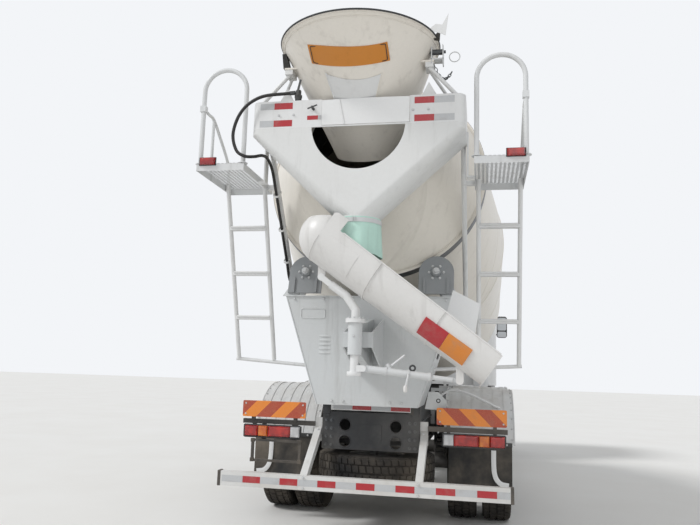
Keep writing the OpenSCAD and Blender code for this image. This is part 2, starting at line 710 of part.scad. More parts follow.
// Front pedestal: two frames, and a sloping plate on which the reducer of the drum is bolted
drive_s = 4960;
plate_s = drive_s + 330;
drive_y = track_y + drive_s * cos(drum_tilt);
drive_z = track_z - drive_s * sin(drum_tilt);
module front_pedestal() color("lightgray") difference() {
  union() {
    both_sides() along_x(rail_x - 70, rail_x - 58) polygon([[drive_y - 50, sub_top], [drive_y + 620,
      sub_top],
      [drive_y + 400, drive_z + 160], [drive_y + 240, drive_z + 160]]);
    both_sides() box(rail_x - rail_flange, rail_x, drive_y - 60, drive_y + 630, sub_top,
      sub_top + plate_t);
    drum_frame() translate([-rail_x + 60, -240, plate_s]) cube([2 * rail_x - 120, 1000, 20]);
  }
  drum_frame() translate([0, 0, plate_s - 50]) cylinder(h = 200, r = 150);
  box(-1000, 1000, 0, 9000, 0, sub_top);
  drum_frame() translate([-rail_x - 100, 700, plate_s - 50]) cube([2 * rail_x + 200, 600, 200]);
}
module drum_drive() color("dimgray") drum_frame() {
  translate([0, 0, drive_s + eps]) cylinder(h = 70, r = 200);
  translate([0, 0, drive_s + 70]) cylinder(h = 220, r = 250);
  translate([0, 0, drive_s + 280]) cylinder(h = plate_s - drive_s - 280, r = 285);
  translate([0, 0, plate_s - 5]) cylinder(h = 90, r = 140);
  translate([0, 0, plate_s + 80]) cylinder(h = 160, r = 95);
}

// Side equipment, each piece on its own brackets from the frame rail
tank_x = -930;
tank_z = 1180;
tank_r = 250;
module water_tank() color("white") {
  translate([tank_x, 4350, tank_z]) rotate([-90, 0, 0]) cylinder(h = 1300, r = tank_r);
  for (y = [4600, 5340]) difference() {
    union() {
      box(tank_x - 180, -rail_x, y, y + 60, 870, 930);
      box(tank_x - 180, -620, y, y + 60, 925, 1060);
    }
    translate([tank_x, 4350, tank_z]) rotate([-90, 0, 0]) cylinder(h = 1300, r = tank_r - 2);
  }
}
hose_r = 13;
hose_end = [-722, 655, pedestal_top];
tap = [-470, beam_y + 25, beam_low + beam_h];
hose_x = -post_out;
hose_points = [tap + [-24, -8, 72], [-560, -645, 3565], [-700, -665, 3550], [-790, -668, 3525], [-880,
  -668, 3465],
  [-950, -655, 3370], [-985, -640, 3240], [-955, -625, 3120], [-890, -612, 3075], [-840, -530, 3095],
  [hose_x - 6, -400, 3145], [hose_x - 2, -270, 3158], [hose_x, -135, 3100], [hose_x, 0, 2940], [hose_x,
    220, 2660],
  [hose_x, 420, 2405], [hose_x, 545, 2245], [-768, 620, 2180], hose_end + [0, 0, 75], hose_end + [0, 0,
    38],
  hose_end + [0, 0, 1.3]];
nozzle = unit(hose_points[0] - hose_points[1]);
module water_hose() color("black") smooth_tube(hose_points, hose_r, 3, 10);
module fuel_tank() color("silver") {
  translate([840, 4900, 800]) rotate([-90, 0, 0]) linear_extrude(1200) round_rect(620, 560, 90);
  for (y = [5100, 5840]) {
    box(rail_x, 535, y, y + 60, 620, 980);
    box(rail_x, 1000, y, y + 60, 505, 525);
    box(rail_x, rail_x + 20, y, y + 60, 505, 980);
  }
}
module side_boxes() color("dimgray") {
  box(rail_x + 60, 1150, 4150, 4750, 620, 1020);
  for (y = [4200, 4640]) box(rail_x, rail_x + 62, y, y + 60, 760, 960);
  for (y = [5000, 5500]) {
    translate([-650, y, 650]) rotate([-90, 0, 0]) cylinder(h = 420, r = 120);
    box(-640, -rail_x, y + 180, y + 240, 742, 772);
  }
}
guard_arms = [4020, 4795, 6180];
module side_guards() color("lightgray") both_sides() {
  for (z = [560, 800]) box(1190, 1215, 3960, 6300, z - 40, z + 40);
  for (y = guard_arms) {
    box(1165, 1191, y, y + 60, 520, 840);
    box(rail_x, 1170, y, y + 50, 745, 785);
  }
}

// Power train: a plain engine and gearbox, and the shafts to the driven axles
module powertrain() color("dimgray") {
  box(-310, 310, 6850, 8050, 600, 1210);
  both_sides() for (y = [6950, 7850]) box(305, rail_x - rail_t, y, y + 80, 850, 900);
  translate([0, 6100, 800]) rotate([-90, 0, 0]) cylinder(h = 760, r = 190);
  difference() {
    union() {
      rod([0, 6120, 740], [0, axle_mid_y + 280, tyre_r + 30], 50);
      rod([0, axle_mid_y - 220, tyre_r + 20], [0, axle_rear_y + 280, tyre_r + 10], 45);
    }
    translate([0, axle_mid_y - 240, tyre_r]) rotate([-90, 0, 0]) cylinder(h = 540, r = 140);
    translate([0, axle_rear_y, tyre_r]) rotate([-90, 0, 0]) cylinder(h = 300, r = 140);
  }
}

// Axles
module spindle(s, x0, x1, r) translate([s * x0, 0, 0]) rotate([0, s * 90, 0]) cylinder(h = x1 - x0, r = r);
axle_tube_r = 75;
module rear_axle() {
  rotate([0, 90, 0]) cylinder(h = 1240, r = axle_tube_r, center = true);
  rotate([0, 90, 0]) cylinder(h = 330, r = 215, center = true);
  rotate([-90, 0, 0]) cylinder(h = 300, r = 130);
  translate([0, -240, 0]) rotate([-90, 0, 0]) cylinder(h = 240, r = 80);
  for (s = [-1, 1]) spindle(s, 600, 1000, spindle_r);
  both_sides() box(480, 570, -60, 60, 0, axle_tube_r + 10);
}
module rear_axles() color("dimgray") for (y = [axle_rear_y, axle_mid_y]) translate([0, y, tyre_r])
  rear_axle();
spring_x = rail_x - 70;
module front_axle() color("dimgray") translate([0, axle_front_y, tyre_r]) {
  box(-kingpin_x + 140, kingpin_x - 140, -45, 45, -90, 20);
  both_sides() difference() {
    union() {
      translate([kingpin_x, 0, -60]) cylinder(h = 120, r = 42);
      box(kingpin_x - 160, kingpin_x, -42, 42, -60, 60);
    }
    translate([kingpin_x, 0, -200]) cylinder(h = 400, r = kingpin_r + run);
  }
}
arm_back = 240;
module knuckle(s) translate([s * kingpin_x, axle_front_y, tyre_r]) mirror([s < 0 ? 1 : 0, 0, 0]) {
  translate([0, 0, -120]) cylinder(h = 240, r = kingpin_r);
  for (z = [-100, 66]) translate([0, 0, z]) cylinder(h = 34, r = 58);
  box(50, kingpin_offset - 50, -50, 50, -100, 100);
  translate([kingpin_offset - 80, 0, 0]) rotate([0, 90, 0]) cylinder(h = 165, r = spindle_r);
  difference() {
    box(-20, 20, -arm_back - 20, -40, -100, -70);
    translate([0, -arm_back, -200]) cylinder(h = 200, r = 10 + (s > 0 ? 1 : run));
  }
}
module knuckle_l() color("dimgray") knuckle(-1);
module knuckle_r() color("dimgray") knuckle(1);
module tie_rod() color("dimgray") translate([0, axle_front_y - arm_back, tyre_r - 130]) {
  rotate([0, 90, 0]) cylinder(h = 2 * kingpin_x, r = 16, center = true);
  both_sides() translate([kingpin_x, 0, -16]) {
    cylinder(h = 32, r = 22);
    cylinder(h = 46 - eps, r = 17);
    cylinder(h = 84, r = 10);
  }
}
trunnion_y = (axle_rear_y + axle_mid_y) / 2;
// One curved leaf as [half length, height of its middle, rise of the ends over the longest half length]
module leaf(x0, x1, y, half, z, rise, long) {
  r = (long * long + rise * rise) / (2 * abs(rise));
  translate([0, y, 0]) along_x(x0, x1) intersection() {
    translate([0, z + (rise > 0 ? r : -r)]) difference() {
      circle(r + (rise > 0 ? 0 : leaf_t));
      circle(r - (rise > 0 ? leaf_t : 0));
    }
    translate([-half, z - 200]) square([2 * half, 400]);
  }
}
leaf_t = 16;
front_long = 780;
rear_long = 720;
front_rise = 75;
rear_rise = -70;
module leaf_springs() color("dimgray") both_sides() {
  // Front springs on the axle beam, hung under the rails
  base = tyre_r + 20;
  for (k = [0:3]) leaf(spring_x, spring_x + 70, axle_front_y, front_long - k * 150,
    base + 15 + k * leaf_t, front_rise, front_long);
  box(spring_x, spring_x + 70, axle_front_y - 60, axle_front_y + 60, base, base + 70);
  for (y = [axle_front_y - front_long, axle_front_y + front_long - 40])
    box(spring_x + 5, spring_x + 65, y, y + 40, base + front_rise - 10, frame_low);
  // Rear springs rock on a trunnion and rest on the axles
  seat_z = tyre_r + axle_tube_r + 10;
  for (k = [0:4]) leaf(480, 570, trunnion_y, rear_long - k * 130, seat_z - rear_rise + k * leaf_t,
    rear_rise, rear_long);
  box(rail_x, rail_x + 22, trunnion_y - 160, trunnion_y + 160, 500, 1000);
  translate([rail_x, trunnion_y, tyre_r]) rotate([0, 90, 0]) cylinder(h = 150, r = 60);
  box(480, 570, trunnion_y - 90, trunnion_y + 90, tyre_r, seat_z - rear_rise + 5);
}

// Wheels
tyre_profile = [
  // [share of half width, radius]
  [-0.78, rim_r + 2 + eps], [-1, rim_r + 90], [-0.98, tyre_r - 70], [-0.80, tyre_r - 8], [-0.6, tyre_r],
  [0.6, tyre_r], [0.80, tyre_r - 8], [0.98, tyre_r - 70], [1, rim_r + 90], [0.78, rim_r + 2 + eps]];
module tyre(x) translate([x, 0, 0]) rotate([0, 90, 0]) rotate_extrude($fn = 64)
  polygon([for (p = tyre_profile) [p[1], p[0] * tyre_w / 2]]);
// Rim: a barrel and a conical disc with hand holes. dish is the place of the disc's flat middle
// along the axle, and rise how far the cone comes back to the barrel
hole_n = 8;
hand_hole_r = 20;
rim_half = tyre_w * 0.4;
barrel_in = rim_r - 14;
disc_t = 12;
module rim(x, dish, rise) translate([x, 0, 0]) rotate([0, 90, 0]) {
  rotate_extrude($fn = 48) polygon([[barrel_in, -rim_half], [rim_r + 2, -rim_half], [rim_r + 2,
    rim_half], [barrel_in, rim_half]]);
  difference() {
    rotate_extrude($fn = 48) polygon([[barrel_in + 2, dish + rise], [barrel_in + 2, dish + rise + disc_t],
      [hub_r + 30, dish + disc_t], [hub_r - 6, dish + disc_t], [hub_r - 6, dish], [hub_r + 30, dish]]);
    for (k = [0:hole_n - 1]) rotate([0, 0, (k + 0.5) * 360 / hole_n])
      translate([(barrel_in + hub_r + 30) / 2, 0, dish - 100]) cylinder(h = 200, r = hand_hole_r);
  }
}
// Hub from x0 to the disc at x1, its cap beyond the disc, and the brake drum from x2 to x3
module hub(x0, x1, cap, x2, x3) translate([x0, 0, 0]) rotate([0, 90, 0]) difference() {
  union() {
    cylinder(h = x1 - x0, r = hub_r);
    cylinder(h = x1 - x0 + cap, r = hub_cap_r);
    cylinder(h = x1 - x0 + cap + 18, r = hub_cap_r - 32);
    translate([0, 0, x2 - x0]) cylinder(h = x3 - x2, r = brake_r);
  }
  translate([0, 0, -60]) cylinder(h = x1 - x0 + 80, r = spindle_r + run);
}
hub_cap_r = 100;
brake_r = 205;
module at_front(s) translate([s * front_track / 2, axle_front_y, tyre_r]) mirror([s < 0 ? 1 : 0, 0, 0])
  children();
module at_twin(s, y) translate([s * twin_x, y, tyre_r]) mirror([s < 0 ? 1 : 0, 0, 0]) children();
module front_tyre(s) at_front(s) tyre(0);
module front_rim(s) at_front(s) {
  rim(0, 100, -60);
  hub(-40, 112, 40, -40, 45);
}
module twin_tyres(s, y) at_twin(s, y) {
  tyre(-twin_pitch / 2);
  tyre(twin_pitch / 2);
}
module twin_rims(s, y) at_twin(s, y) {
  rim(-twin_pitch / 2, 100, -60);
  rim(twin_pitch / 2, -112, 70);
  hub(-200, 66, 90, -255, -140);
}
module tyre_front_l() color("black") front_tyre(-1);
module tyre_front_r() color("black") front_tyre(1);
module tyres_mid_l() color("black") twin_tyres(-1, axle_mid_y);
module tyres_mid_r() color("black") twin_tyres(1, axle_mid_y);
module tyres_rear_l() color("black") twin_tyres(-1, axle_rear_y);
module tyres_rear_r() color("black") twin_tyres(1, axle_rear_y);
module rim_front_l() color("gray") front_rim(-1);
module rim_front_r() color("gray") front_rim(1);
module rims_mid_l() color("gray") twin_rims(-1, axle_mid_y);
module rims_mid_r() color("gray") twin_rims(1, axle_mid_y);
module rims_rear_l() color("gray") twin_rims(-1, axle_rear_y);
module rims_rear_r() color("gray") twin_rims(1, axle_rear_y);
spare_y = 900;
spare_z = 555;
spare_dish = 60;
module spare_wheel() color("black") translate([0, spare_y, spare_z]) rotate([0, -90, 0]) {
  tyre(0);
  rim(0, spare_dish - disc_t, -50);
  translate([spare_dish - disc_t, 0, 0]) rotate([0, 90, 0]) cylinder(h = disc_t, r = hub_r);
}

// Cab: a side profile extruded, rounded in plan, then hollowed
cab_side = [
  // [station behind the cab's front, height]
  [-cab_l, cab_low], [-cab_l, cab_roof - 80], [-cab_l + 80, cab_roof], [-620, cab_roof + 10],
  [-330, cab_roof - 50],
  [-30, 2020], [0, 1800], [0, 1180], [-20, 1160], [-300, 1160], [-420, cab_low]];
module cab_profile(inset) polygon([for (p = cab_side)
  [cab_front + p[0] + (p[0] < -900 ? inset : -inset), p[1] + (p[1] < 1400 ? inset : -inset)]]);
module cab_solid(inset) intersection() {
  along_x(-cab_w / 2 + inset, cab_w / 2 - inset) cab_profile(inset);
  along_z(1000, 3300) translate([0, (cab_back + cab_front) / 2])
    round_rect(cab_w - 2 * inset, cab_l - 2 * inset, 160 - inset);
}
door_y0 = cab_back + 560;
door_y1 = cab_front - 330;
door_mid = (door_y0 + door_y1) / 2;
door_low = 1330;
door_high = 2770;
hinge_x = cab_w / 2 + 18;
hinge_y = door_y1 + 3;
hinge_z = [1500, 2150];
handle_y = door_y0 + 70;
handle_z = 1830;
module door_outline(grow) translate([door_mid, (door_low + door_high) / 2])
  round_rect(door_y1 - door_y0 + 2 * grow, door_high - door_low + 2 * grow, 60 + grow);
module door_window(grow) translate([door_mid - 10, 2380])
  round_rect(door_y1 - door_y0 - 160 + 2 * grow, 640 + 2 * grow, 60 + grow);
module door(s) difference() {
  union() {
    intersection() {
      difference() {
        cab_solid(0);
        cab_solid(cab_wall);
      }
      along_x(s > 0 ? 900 : -2000, s > 0 ? 2000 : -900) door_outline(0);
    }
    for (z = hinge_z) translate([s * hinge_x, hinge_y, z]) {
      cylinder(h = 60, r = 12);
      translate([s > 0 ? -20 : -6, -40, 0]) cube([26, 40, 60]);
    }
    // Handle across its pocket
    mirror([s < 0 ? 1 : 0, 0, 0]) box(cab_w / 2 - 14, cab_w / 2 - 2, handle_y - 12, handle_y + 172,
      handle_z - 12, handle_z + 12);
  }
  mirror([s < 0 ? 1 : 0, 0, 0]) for (z = [handle_z - 40, handle_z + 12])
    box(cab_w / 2 - 20, cab_w / 2 + 10, handle_y, handle_y + 160, z, z + 28);
  along_x(-2000, 2000) door_window(0);
  translate([s * hinge_x, hinge_y, 1000]) cylinder(h = 2000, r = 6 + run);
}
// Grilles of the cab's front as [width, height of the middle, height, number of slats]
grilles = [[1720, 1620, 240, 3], [1500, 1330, 180, 2]];
grille_depth = 28;
module hinge_pins() both_sides() for (z = hinge_z) translate([hinge_x, hinge_y, z]) {
  translate([0, 0, -24]) cylinder(h = 108, r = 6);
  for (dz = [-24, 66]) translate([0, 0, dz]) {
    cylinder(h = 18, r = 12);
    translate([-20, 0, 0]) cube([26, 40, 18]);
  }
}
module cab_shell() color("white") {
  difference() {
    cab_solid(0);
    cab_solid(cab_wall);
    along_x(-2000, 2000) door_outline(door_gap);
    along_y(cab_front - 400, cab_front + 100) translate([0, 2330]) round_rect(2080, 800, 80);
    along_y(cab_back - 100, cab_back + 100) translate([0, 2450]) round_rect(900, 420, 60);
    along_y(cab_front - grille_depth, cab_front + 100) for (g = grilles) translate([0, g[1]])
      round_rect(g[0], g[2], 40);
  }
  // Slats across the grilles
  for (g = grilles, k = [1:g[3]]) {
    z = g[1] - g[2] / 2 + k * g[2] / (g[3] + 1);
    along_x(-g[0] / 2 - 2, g[0] / 2 + 2) polygon([[cab_front - grille_depth - 2, z - 4], [cab_front - 6,
      z - 18],
      [cab_front - 2, z + 4], [cab_front - grille_depth - 2, z + 16]]);
  }
  hinge_pins();
  // Lugs on the tilting pins
  both_sides() difference() {
    along_x(rail_x - 60 + 1, rail_x - 28 + 1) translate(cab_pivot) {
      circle(30);
      translate([-30, 0]) square([60, 70]);
    }
    cab_pivot_hole(15 + run);
  }
}
module door_l() color("white") door(-1);
module door_r() color("white") door(1);
module pane(z0, z1) intersection() {
  difference() {
    cab_solid(z0);
    cab_solid(z1);
  }
  children();
}
module cab_glass() color("slategray") {
  pane(18, 24) along_y(cab_front - 400, cab_front + 100) translate([0, 2330]) round_rect(2080 - 2 * eps,
    800 - 2 * eps, 80);
  pane(18, 24) along_y(cab_back - 100, cab_back + 100) translate([0, 2450]) round_rect(900 - 2 * eps,
    420 - 2 * eps, 60);
}
module door_glass(s) pane(20, 26) along_x(s > 0 ? 900 : -2000, s > 0 ? 2000 : -900) door_window(-eps);
module door_glass_l() color("slategray") door_glass(-1);
module door_glass_r() color("slategray") door_glass(1);
module front_bumper() color("lightgray") difference() {
  along_z(480, 1060) translate([0, bumper_front - 150]) round_rect(2400, 300, 100);
  along_z(530, 1200) translate([0, bumper_front - 150 - bumper_wall]) round_rect(2300, 300, 60);
  for (s = [-1, 1]) head_lamp_place(s) linear_extrude(200) round_rect(400 + 2 * eps, 190 + 2 * eps, 40);
  // Air slots and the steps in the bumper's middle
  for (z = [700, 770, 840]) along_y(bumper_front - 22, bumper_front + 10) translate([0, z])
    round_rect(1080, 46, 20);
  for (s = [-1, 1]) along_y(bumper_front - 20, bumper_front + 10) translate([s * 800, 560])
    round_rect(240, 90, 30);
}

// Black plastic mudguards over the steered wheels, each on one arm from the frame
front_guard_r = 640;
front_guard_in = 865;
front_guard_out = 1195;
module front_mudguards() color("dimgray") both_sides() {
  along_x(front_guard_in, front_guard_out) translate([axle_front_y, tyre_r]) difference() {
    circle(front_guard_r + guard_t, $fn = 64);
    circle(front_guard_r, $fn = 64);
    translate([-800, -1000]) square([1600, 1160]);
  }
  box(rail_x, front_guard_out - 30, axle_front_y - 25, axle_front_y + 25, tyre_r + front_guard_r + 2,
    tyre_r + front_guard_r + 30);
  box(rail_x, rail_x + 30, axle_front_y - 25, axle_front_y + 25, frame_top - 120,
    tyre_r + front_guard_r + 30);
}

// Behind the cab: the air intake on the left and the exhaust on the right
stack_y = cab_back - 130;
module air_intake() color("dimgray") {
  along_z(1300, 2760) translate([-880, stack_y]) round_rect(300, 150, 30);
  difference() {
    along_z(2740, 3000) translate([-880, stack_y]) round_rect(360, 170, 40);
    for (z = [2780:44:2960]) box(-1100, -660, stack_y - 100, stack_y - 62, z, z + 24);
  }
  translate([-700, stack_y, 1380]) rotate([0, 90, 0]) cylinder(h = 360, r = 75);
  for (z = [1420, 1240]) box(-rail_x - 340, -rail_x + 40, stack_y - 40, stack_y + 20, z, z + 40);
  box(-rail_x, -rail_x + 40, stack_y - 40, stack_y + 20, frame_top, 1460);
}
module exhaust() color("silver") {
  difference() {
    translate([exhaust_x, stack_y, 2270]) cylinder(h = 720, r = 55);
    translate([exhaust_x - 200, stack_y, 2900]) rotate([35, 0, 0]) translate([0, -300, 0]) cube([400,
      600, 400]);
  }
  translate([exhaust_x, stack_y, 1110]) cylinder(h = 1170, r = 120);
  translate([rail_x + 60, stack_y, 1180]) rotate([0, 90, 0]) cylinder(h = exhaust_x - rail_x - 100,
    r = 50);
  for (z = [1480, 2060]) {
    translate([exhaust_x, stack_y, z]) cylinder(h = 40, r = 128);
    box(rail_x + 10, exhaust_x - 100, stack_y - 20, stack_y + 20, z, z + 40);
  }
  box(rail_x - 40, rail_x + 80, stack_y - 20, stack_y + 20, frame_top, 2120);
}
exhaust_x = 930;

// Steps in front of the steered wheels, below the doors
step_in = 980;
step_out = 1200;
step_y0 = axle_front_y + tyre_r + 145;
step_y1 = bumper_front - 310;
module front_steps() color("dimgray") both_sides() {
  difference() {
    box(step_in, step_out, step_y0, step_y1, 420, 1140);
    for (z = [470, 830]) box(step_in + 30, step_out + 100, step_y0 + 40, step_y1 - 40, z, z + 260);
  }
  for (y = [step_y0 + 100, step_y1 - 150]) box(rail_x, step_in + 5, y, y + 50, 800, 850);
}
// Mirrors on their arms, and the visor over the windscreen
mirror_x = cab_w / 2 + 140;
mirror_y = cab_front - 240;
module mirrors() color("black") {
  both_sides() {
    translate([mirror_x, mirror_y, 2350]) rotate([90, 0, 0]) linear_extrude(70, center = true)
      round_rect(200, 420, 50);
    for (z = [2200, 2500]) rod([cab_w / 2, mirror_y, z], [mirror_x, mirror_y, z], 14);
  }
  along_x(-1020, 1020) polygon([[cab_front - 290, 2905], [cab_front - 70, 2815], [cab_front - 75, 2803],
    [cab_front - 295, 2893]]);
  for (x = [-800, 0, 800]) along_x(x - 8, x + 8) polygon([[cab_front - 313.9, 2920], [cab_front - 150,
    2855],
    [cab_front - 150, 2840], [cab_front - 295, 2860]]);
}
cab_inner_low = cab_low + cab_wall;
module seat(x) translate([x, cab_front - 1340, 0]) {
  along_x(-200, 200) polygon([[40, cab_inner_low], [360, cab_inner_low], [400, 1500], [0, 1500]]);
  along_x(-260, 260) polygon([[-60, 1500], [440, 1500], [490, 1560], [460, 1640], [0, 1610], [-60, 1560]]);
  along_x(-250, 250) polygon([[-120, 1520], [10, 1560], [-90, 2200], [-190, 2190]]);
  along_x(-130, 130) polygon([[-165, 2180], [-110, 2185], [-130, 2400], [-210, 2390]]);
}
wheel_c = [-600, cab_front - 580, 1960];
module cab_interior() color("dimgray") {
  intersection() {
    cab_solid(cab_wall + eps);
    translate([0, cab_front, 0]) along_x(-cab_w / 2 + 70, cab_w / 2 - 70) polygon([[-410, 1640], [-410,
      1860], [-290, 1930],
      [0, 1930], [0, 1560], [-240, 1560]]);
  }
  for (s = [-1, 1]) seat(s * 600);
  translate(wheel_c) rotate([35, 0, 0]) {
    rotate_extrude($fn = 48) translate([215, 0]) circle(15, $fn = 20);
    cylinder(h = 24, r = 60, center = true);
    for (a = [0, 120, 240]) rotate([0, 90, a + 90]) cylinder(h = 212, r = 10);
  }
  rod(wheel_c, [wheel_c.x, cab_front - 300, 1590], 30);
}

module placed() translate([0, -y_mid, 0]) children();
placed() chassis_frame();
placed() rear_underrun();
placed() lamps();
placed() marker_boards();
placed() rear_mudguards();
placed() mudflaps();
placed() rear_pedestal();
placed() roller_l();
placed() roller_r_node();  // roller_r
placed() drum();
placed() feed_hopper();
placed() collection_hopper();
placed() rubber_sleeve();
placed() portal();
placed() platforms();
placed() ladders();
placed() main_chute();
placed() chute_yoke();
placed() jack_tube();
placed() jack_rod();
placed() front_pedestal();
placed() drum_drive();
placed() water_tank();
placed() water_hose();
placed() fuel_tank();
placed() side_boxes();
placed() side_guards();
placed() powertrain();
placed() front_axle();
placed() knuckle_l();
placed() knuckle_r();
placed() tie_rod();
placed() rear_axles();
placed() leaf_springs();
placed() tyre_front_l();
placed() tyre_front_r();
placed() tyres_mid_l();
placed() tyres_mid_r();
placed() tyres_rear_l();
placed() tyres_rear_r();
placed() rim_front_l();
placed() rim_front_r();
placed() rims_mid_l();
placed() rims_mid_r();
placed() rims_rear_l();
placed() rims_rear_r();
placed() spare_wheel();
placed() cab_shell();
placed() door_l();
placed() door_r();
placed() cab_glass();
placed() door_glass_l();
placed() door_glass_r();
placed() front_bumper();
placed() front_mudguards();
placed() air_intake();
placed() exhaust();
placed() front_steps();
placed() mirrors();
placed() cab_interior();
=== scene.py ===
# %% [markdown]
# A concrete mixer truck seen from behind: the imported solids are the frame, and this file dresses
# them. Lengths are metres, +X is the truck's right side, +Y is forward and the road is at zero.
# The solids come first because every piece below is placed from their boxes.

# %% Frame and imports
import json
import math
import bmesh
import bpy
import numpy as np
from mathutils import Matrix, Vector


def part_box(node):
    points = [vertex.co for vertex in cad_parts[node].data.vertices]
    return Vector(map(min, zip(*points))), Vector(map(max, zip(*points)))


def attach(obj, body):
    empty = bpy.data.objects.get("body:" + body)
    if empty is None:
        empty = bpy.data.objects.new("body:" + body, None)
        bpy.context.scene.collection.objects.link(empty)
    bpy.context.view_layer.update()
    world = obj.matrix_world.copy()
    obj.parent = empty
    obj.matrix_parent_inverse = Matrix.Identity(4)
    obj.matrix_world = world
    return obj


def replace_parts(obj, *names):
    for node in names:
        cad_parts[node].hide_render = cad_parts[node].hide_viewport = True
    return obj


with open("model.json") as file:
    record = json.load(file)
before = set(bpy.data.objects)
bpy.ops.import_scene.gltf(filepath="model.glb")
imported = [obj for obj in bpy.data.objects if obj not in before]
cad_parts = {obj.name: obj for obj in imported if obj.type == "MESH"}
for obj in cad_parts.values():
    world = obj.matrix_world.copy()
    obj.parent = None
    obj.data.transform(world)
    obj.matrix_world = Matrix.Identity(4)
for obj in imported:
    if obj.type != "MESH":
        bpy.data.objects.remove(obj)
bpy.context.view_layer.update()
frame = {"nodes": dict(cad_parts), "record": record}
SCENE = bpy.context.scene
NODES = frame["nodes"]
REAR = -3.725  # row station of the underrun bar's rear face

# %% [markdown]
# The camera stands a little to the right of the truck's middle and looks up at it with a normal
# lens. Its place and angles are written as plain values, and the axes of its matrix are worked
# out from them: forward from yaw and pitch, then right and up turned by the roll.

# %% Camera
EYE = (0.96, REAR - 5.51, 1.43)
YAW, PITCH, ROLL = (math.radians(a) for a in (11.21, 8.99, 1.75))
FOCAL_PX, IMAGE_W = 676, 700


def camera_matrix(eye, yaw, pitch, roll):
    """Columns are the camera's right, up and backward directions, and then its place."""
    ahead = np.array([-math.sin(yaw) * math.cos(pitch), math.cos(yaw) * math.cos(pitch), math.sin(pitch)])
    right = np.array([math.cos(yaw), math.sin(yaw), 0])
    up = np.cross(right, ahead)
    side = math.cos(roll) * right + math.sin(roll) * up
    top = -math.sin(roll) * right + math.cos(roll) * up
    return Matrix([[*row, place] for row, place in zip(np.stack([side, top, -ahead], 1), eye)]
                  + [[0, 0, 0, 1]])


lens = bpy.data.cameras.new("photo_lens")
lens.sensor_width = 36
lens.lens = lens.sensor_width * FOCAL_PX / IMAGE_W
lens.clip_end = 200
camera = bpy.data.objects.new("photo_camera", lens)
camera.matrix_world = camera_matrix(EYE, YAW, PITCH, ROLL)
SCENE.collection.objects.link(camera)
SCENE.camera = camera
print("lens in mm:", round(lens.lens, 2))

# %% [markdown]
# A shader is a small graph. This helper adds one node and fills its sockets in one call: a value
# that is itself a socket is linked, and anything else is typed in. It keeps every material below
# down to the few lines that say what the finish is.

# %% Node helpers


def add(tree, kind, props=None, **sockets):
    """One shader node. Socket names are written with _ for a space, and i0, i1 ... pick by number."""
    made = tree.nodes.new("ShaderNode" + kind)
    for key, value in (props or {}).items():
        setattr(made, key, value)
    for key, value in sockets.items():
        by_number = key[0] == "i" and key[1:].isdigit()
        socket = made.inputs[int(key[1:])] if by_number else made.inputs[key.replace("_", " ")]
        if isinstance(value, bpy.types.NodeSocket):
            tree.links.new(value, socket)
        else:
            socket.default_value = value
    return made


def math_node(tree, operation, a, b=0.0, clamp=False):
    """The result of one arithmetic step, as a socket."""
    return add(tree, "Math", {"operation": operation, "use_clamp": clamp}, i0=a, i1=b).outputs[0]


def mix_color(tree, factor, a, b, blend="MIX"):
    """Two colours mixed by a factor, as a socket."""
    made = add(tree, "Mix", {"data_type": "RGBA", "blend_type": blend}, i0=factor, i6=a, i7=b)
    return made.outputs[2]


def ramp(tree, value, low, high):
    """0 below low, 1 above high and a smooth step between them."""
    made = add(tree, "MapRange", {"interpolation_type": "SMOOTHSTEP"}, Value=value, From_Min=low,
               From_Max=high)
    return made.outputs[0]


def noise(tree, vector, scale, detail=3, rough=0.55):
    """Soft random values over space, as a socket."""
    return add(tree, "TexNoise", None, Vector=vector, Scale=scale, Detail=detail, Roughness=rough).outputs[0]


def rgb(text, alpha=1.0):
    """A display colour such as d9dad8 as linear light, which is what a shader counts in."""
    parts = np.array([int(text[i:i + 2], 16) / 255 for i in (0, 2, 4)])
    linear = np.where(parts <= 0.04045, parts / 12.92, ((parts + 0.055) / 1.055) ** 2.4)
    return (*linear.tolist(), alpha)


def new_group(name, inputs, outputs):
    """An empty shader group with named sockets: (name, kind, default) and (name, kind)."""
    tree = bpy.data.node_groups.new(name, "ShaderNodeTree")
    for label, kind, default in inputs:
        socket = tree.interface.new_socket(label, in_out="INPUT", socket_type="NodeSocket" + kind)
        socket.default_value = default
    for label, kind in outputs:
        tree.interface.new_socket(label, in_out="OUTPUT", socket_type="NodeSocket" + kind)
    return tree, tree.nodes.new("NodeGroupInput"), tree.nodes.new("NodeGroupOutput")


def place_group(tree, group, **sockets):
    """A group placed in a material, with its own values."""
    made = tree.nodes.new("ShaderNodeGroup")
    made.node_tree = group
    for key, value in sockets.items():
        socket = made.inputs[key.replace("_", " ")]
        if isinstance(value, bpy.types.NodeSocket):
            tree.links.new(value, socket)
        else:
            socket.default_value = value
    return made


# %% [markdown]
# Paint on a working truck is never one colour. Road dust settles on its low and upward faces,
# grey cement water runs down its walls, and the sprayed coat itself is a little uneven. All
# painted finishes share this, so it is one group that every material places with its own values.

# %% Weather group
weather, inside, outside = new_group(
    "weather",
    [("Paint", "Color", (0.8, 0.8, 0.8, 1)), ("Dust Color", "Color", rgb("a79b8c")), ("Dust", "Float", 0.3),
     ("Streaks", "Float", 0.3), ("Roughness", "Float", 0.4)],
    [("Color", "Color"), ("Roughness", "Float"), ("Height", "Float")])
place = add(weather, "TexCoord").outputs["Object"]
tall = add(weather, "Mapping", None, Vector=place, Scale=(9, 9, 0.9)).outputs[0]
cloud = noise(weather, place, 1.7, 5, 0.6)
fine = noise(weather, place, 38, 4, 0.65)
runs = ramp(weather, noise(weather, tall, 1.6, 5, 0.6), 0.52, 0.78)
height = add(weather, "SeparateXYZ", None, Vector=place).outputs[2]
up = add(weather, "SeparateXYZ", None, Vector=add(weather, "NewGeometry").outputs["Normal"]).outputs[2]
low_dust = math_node(weather, "MULTIPLY",
                     math_node(weather, "SUBTRACT", 1.0, ramp(weather, height, 0.5, 1.5)), 0.8)
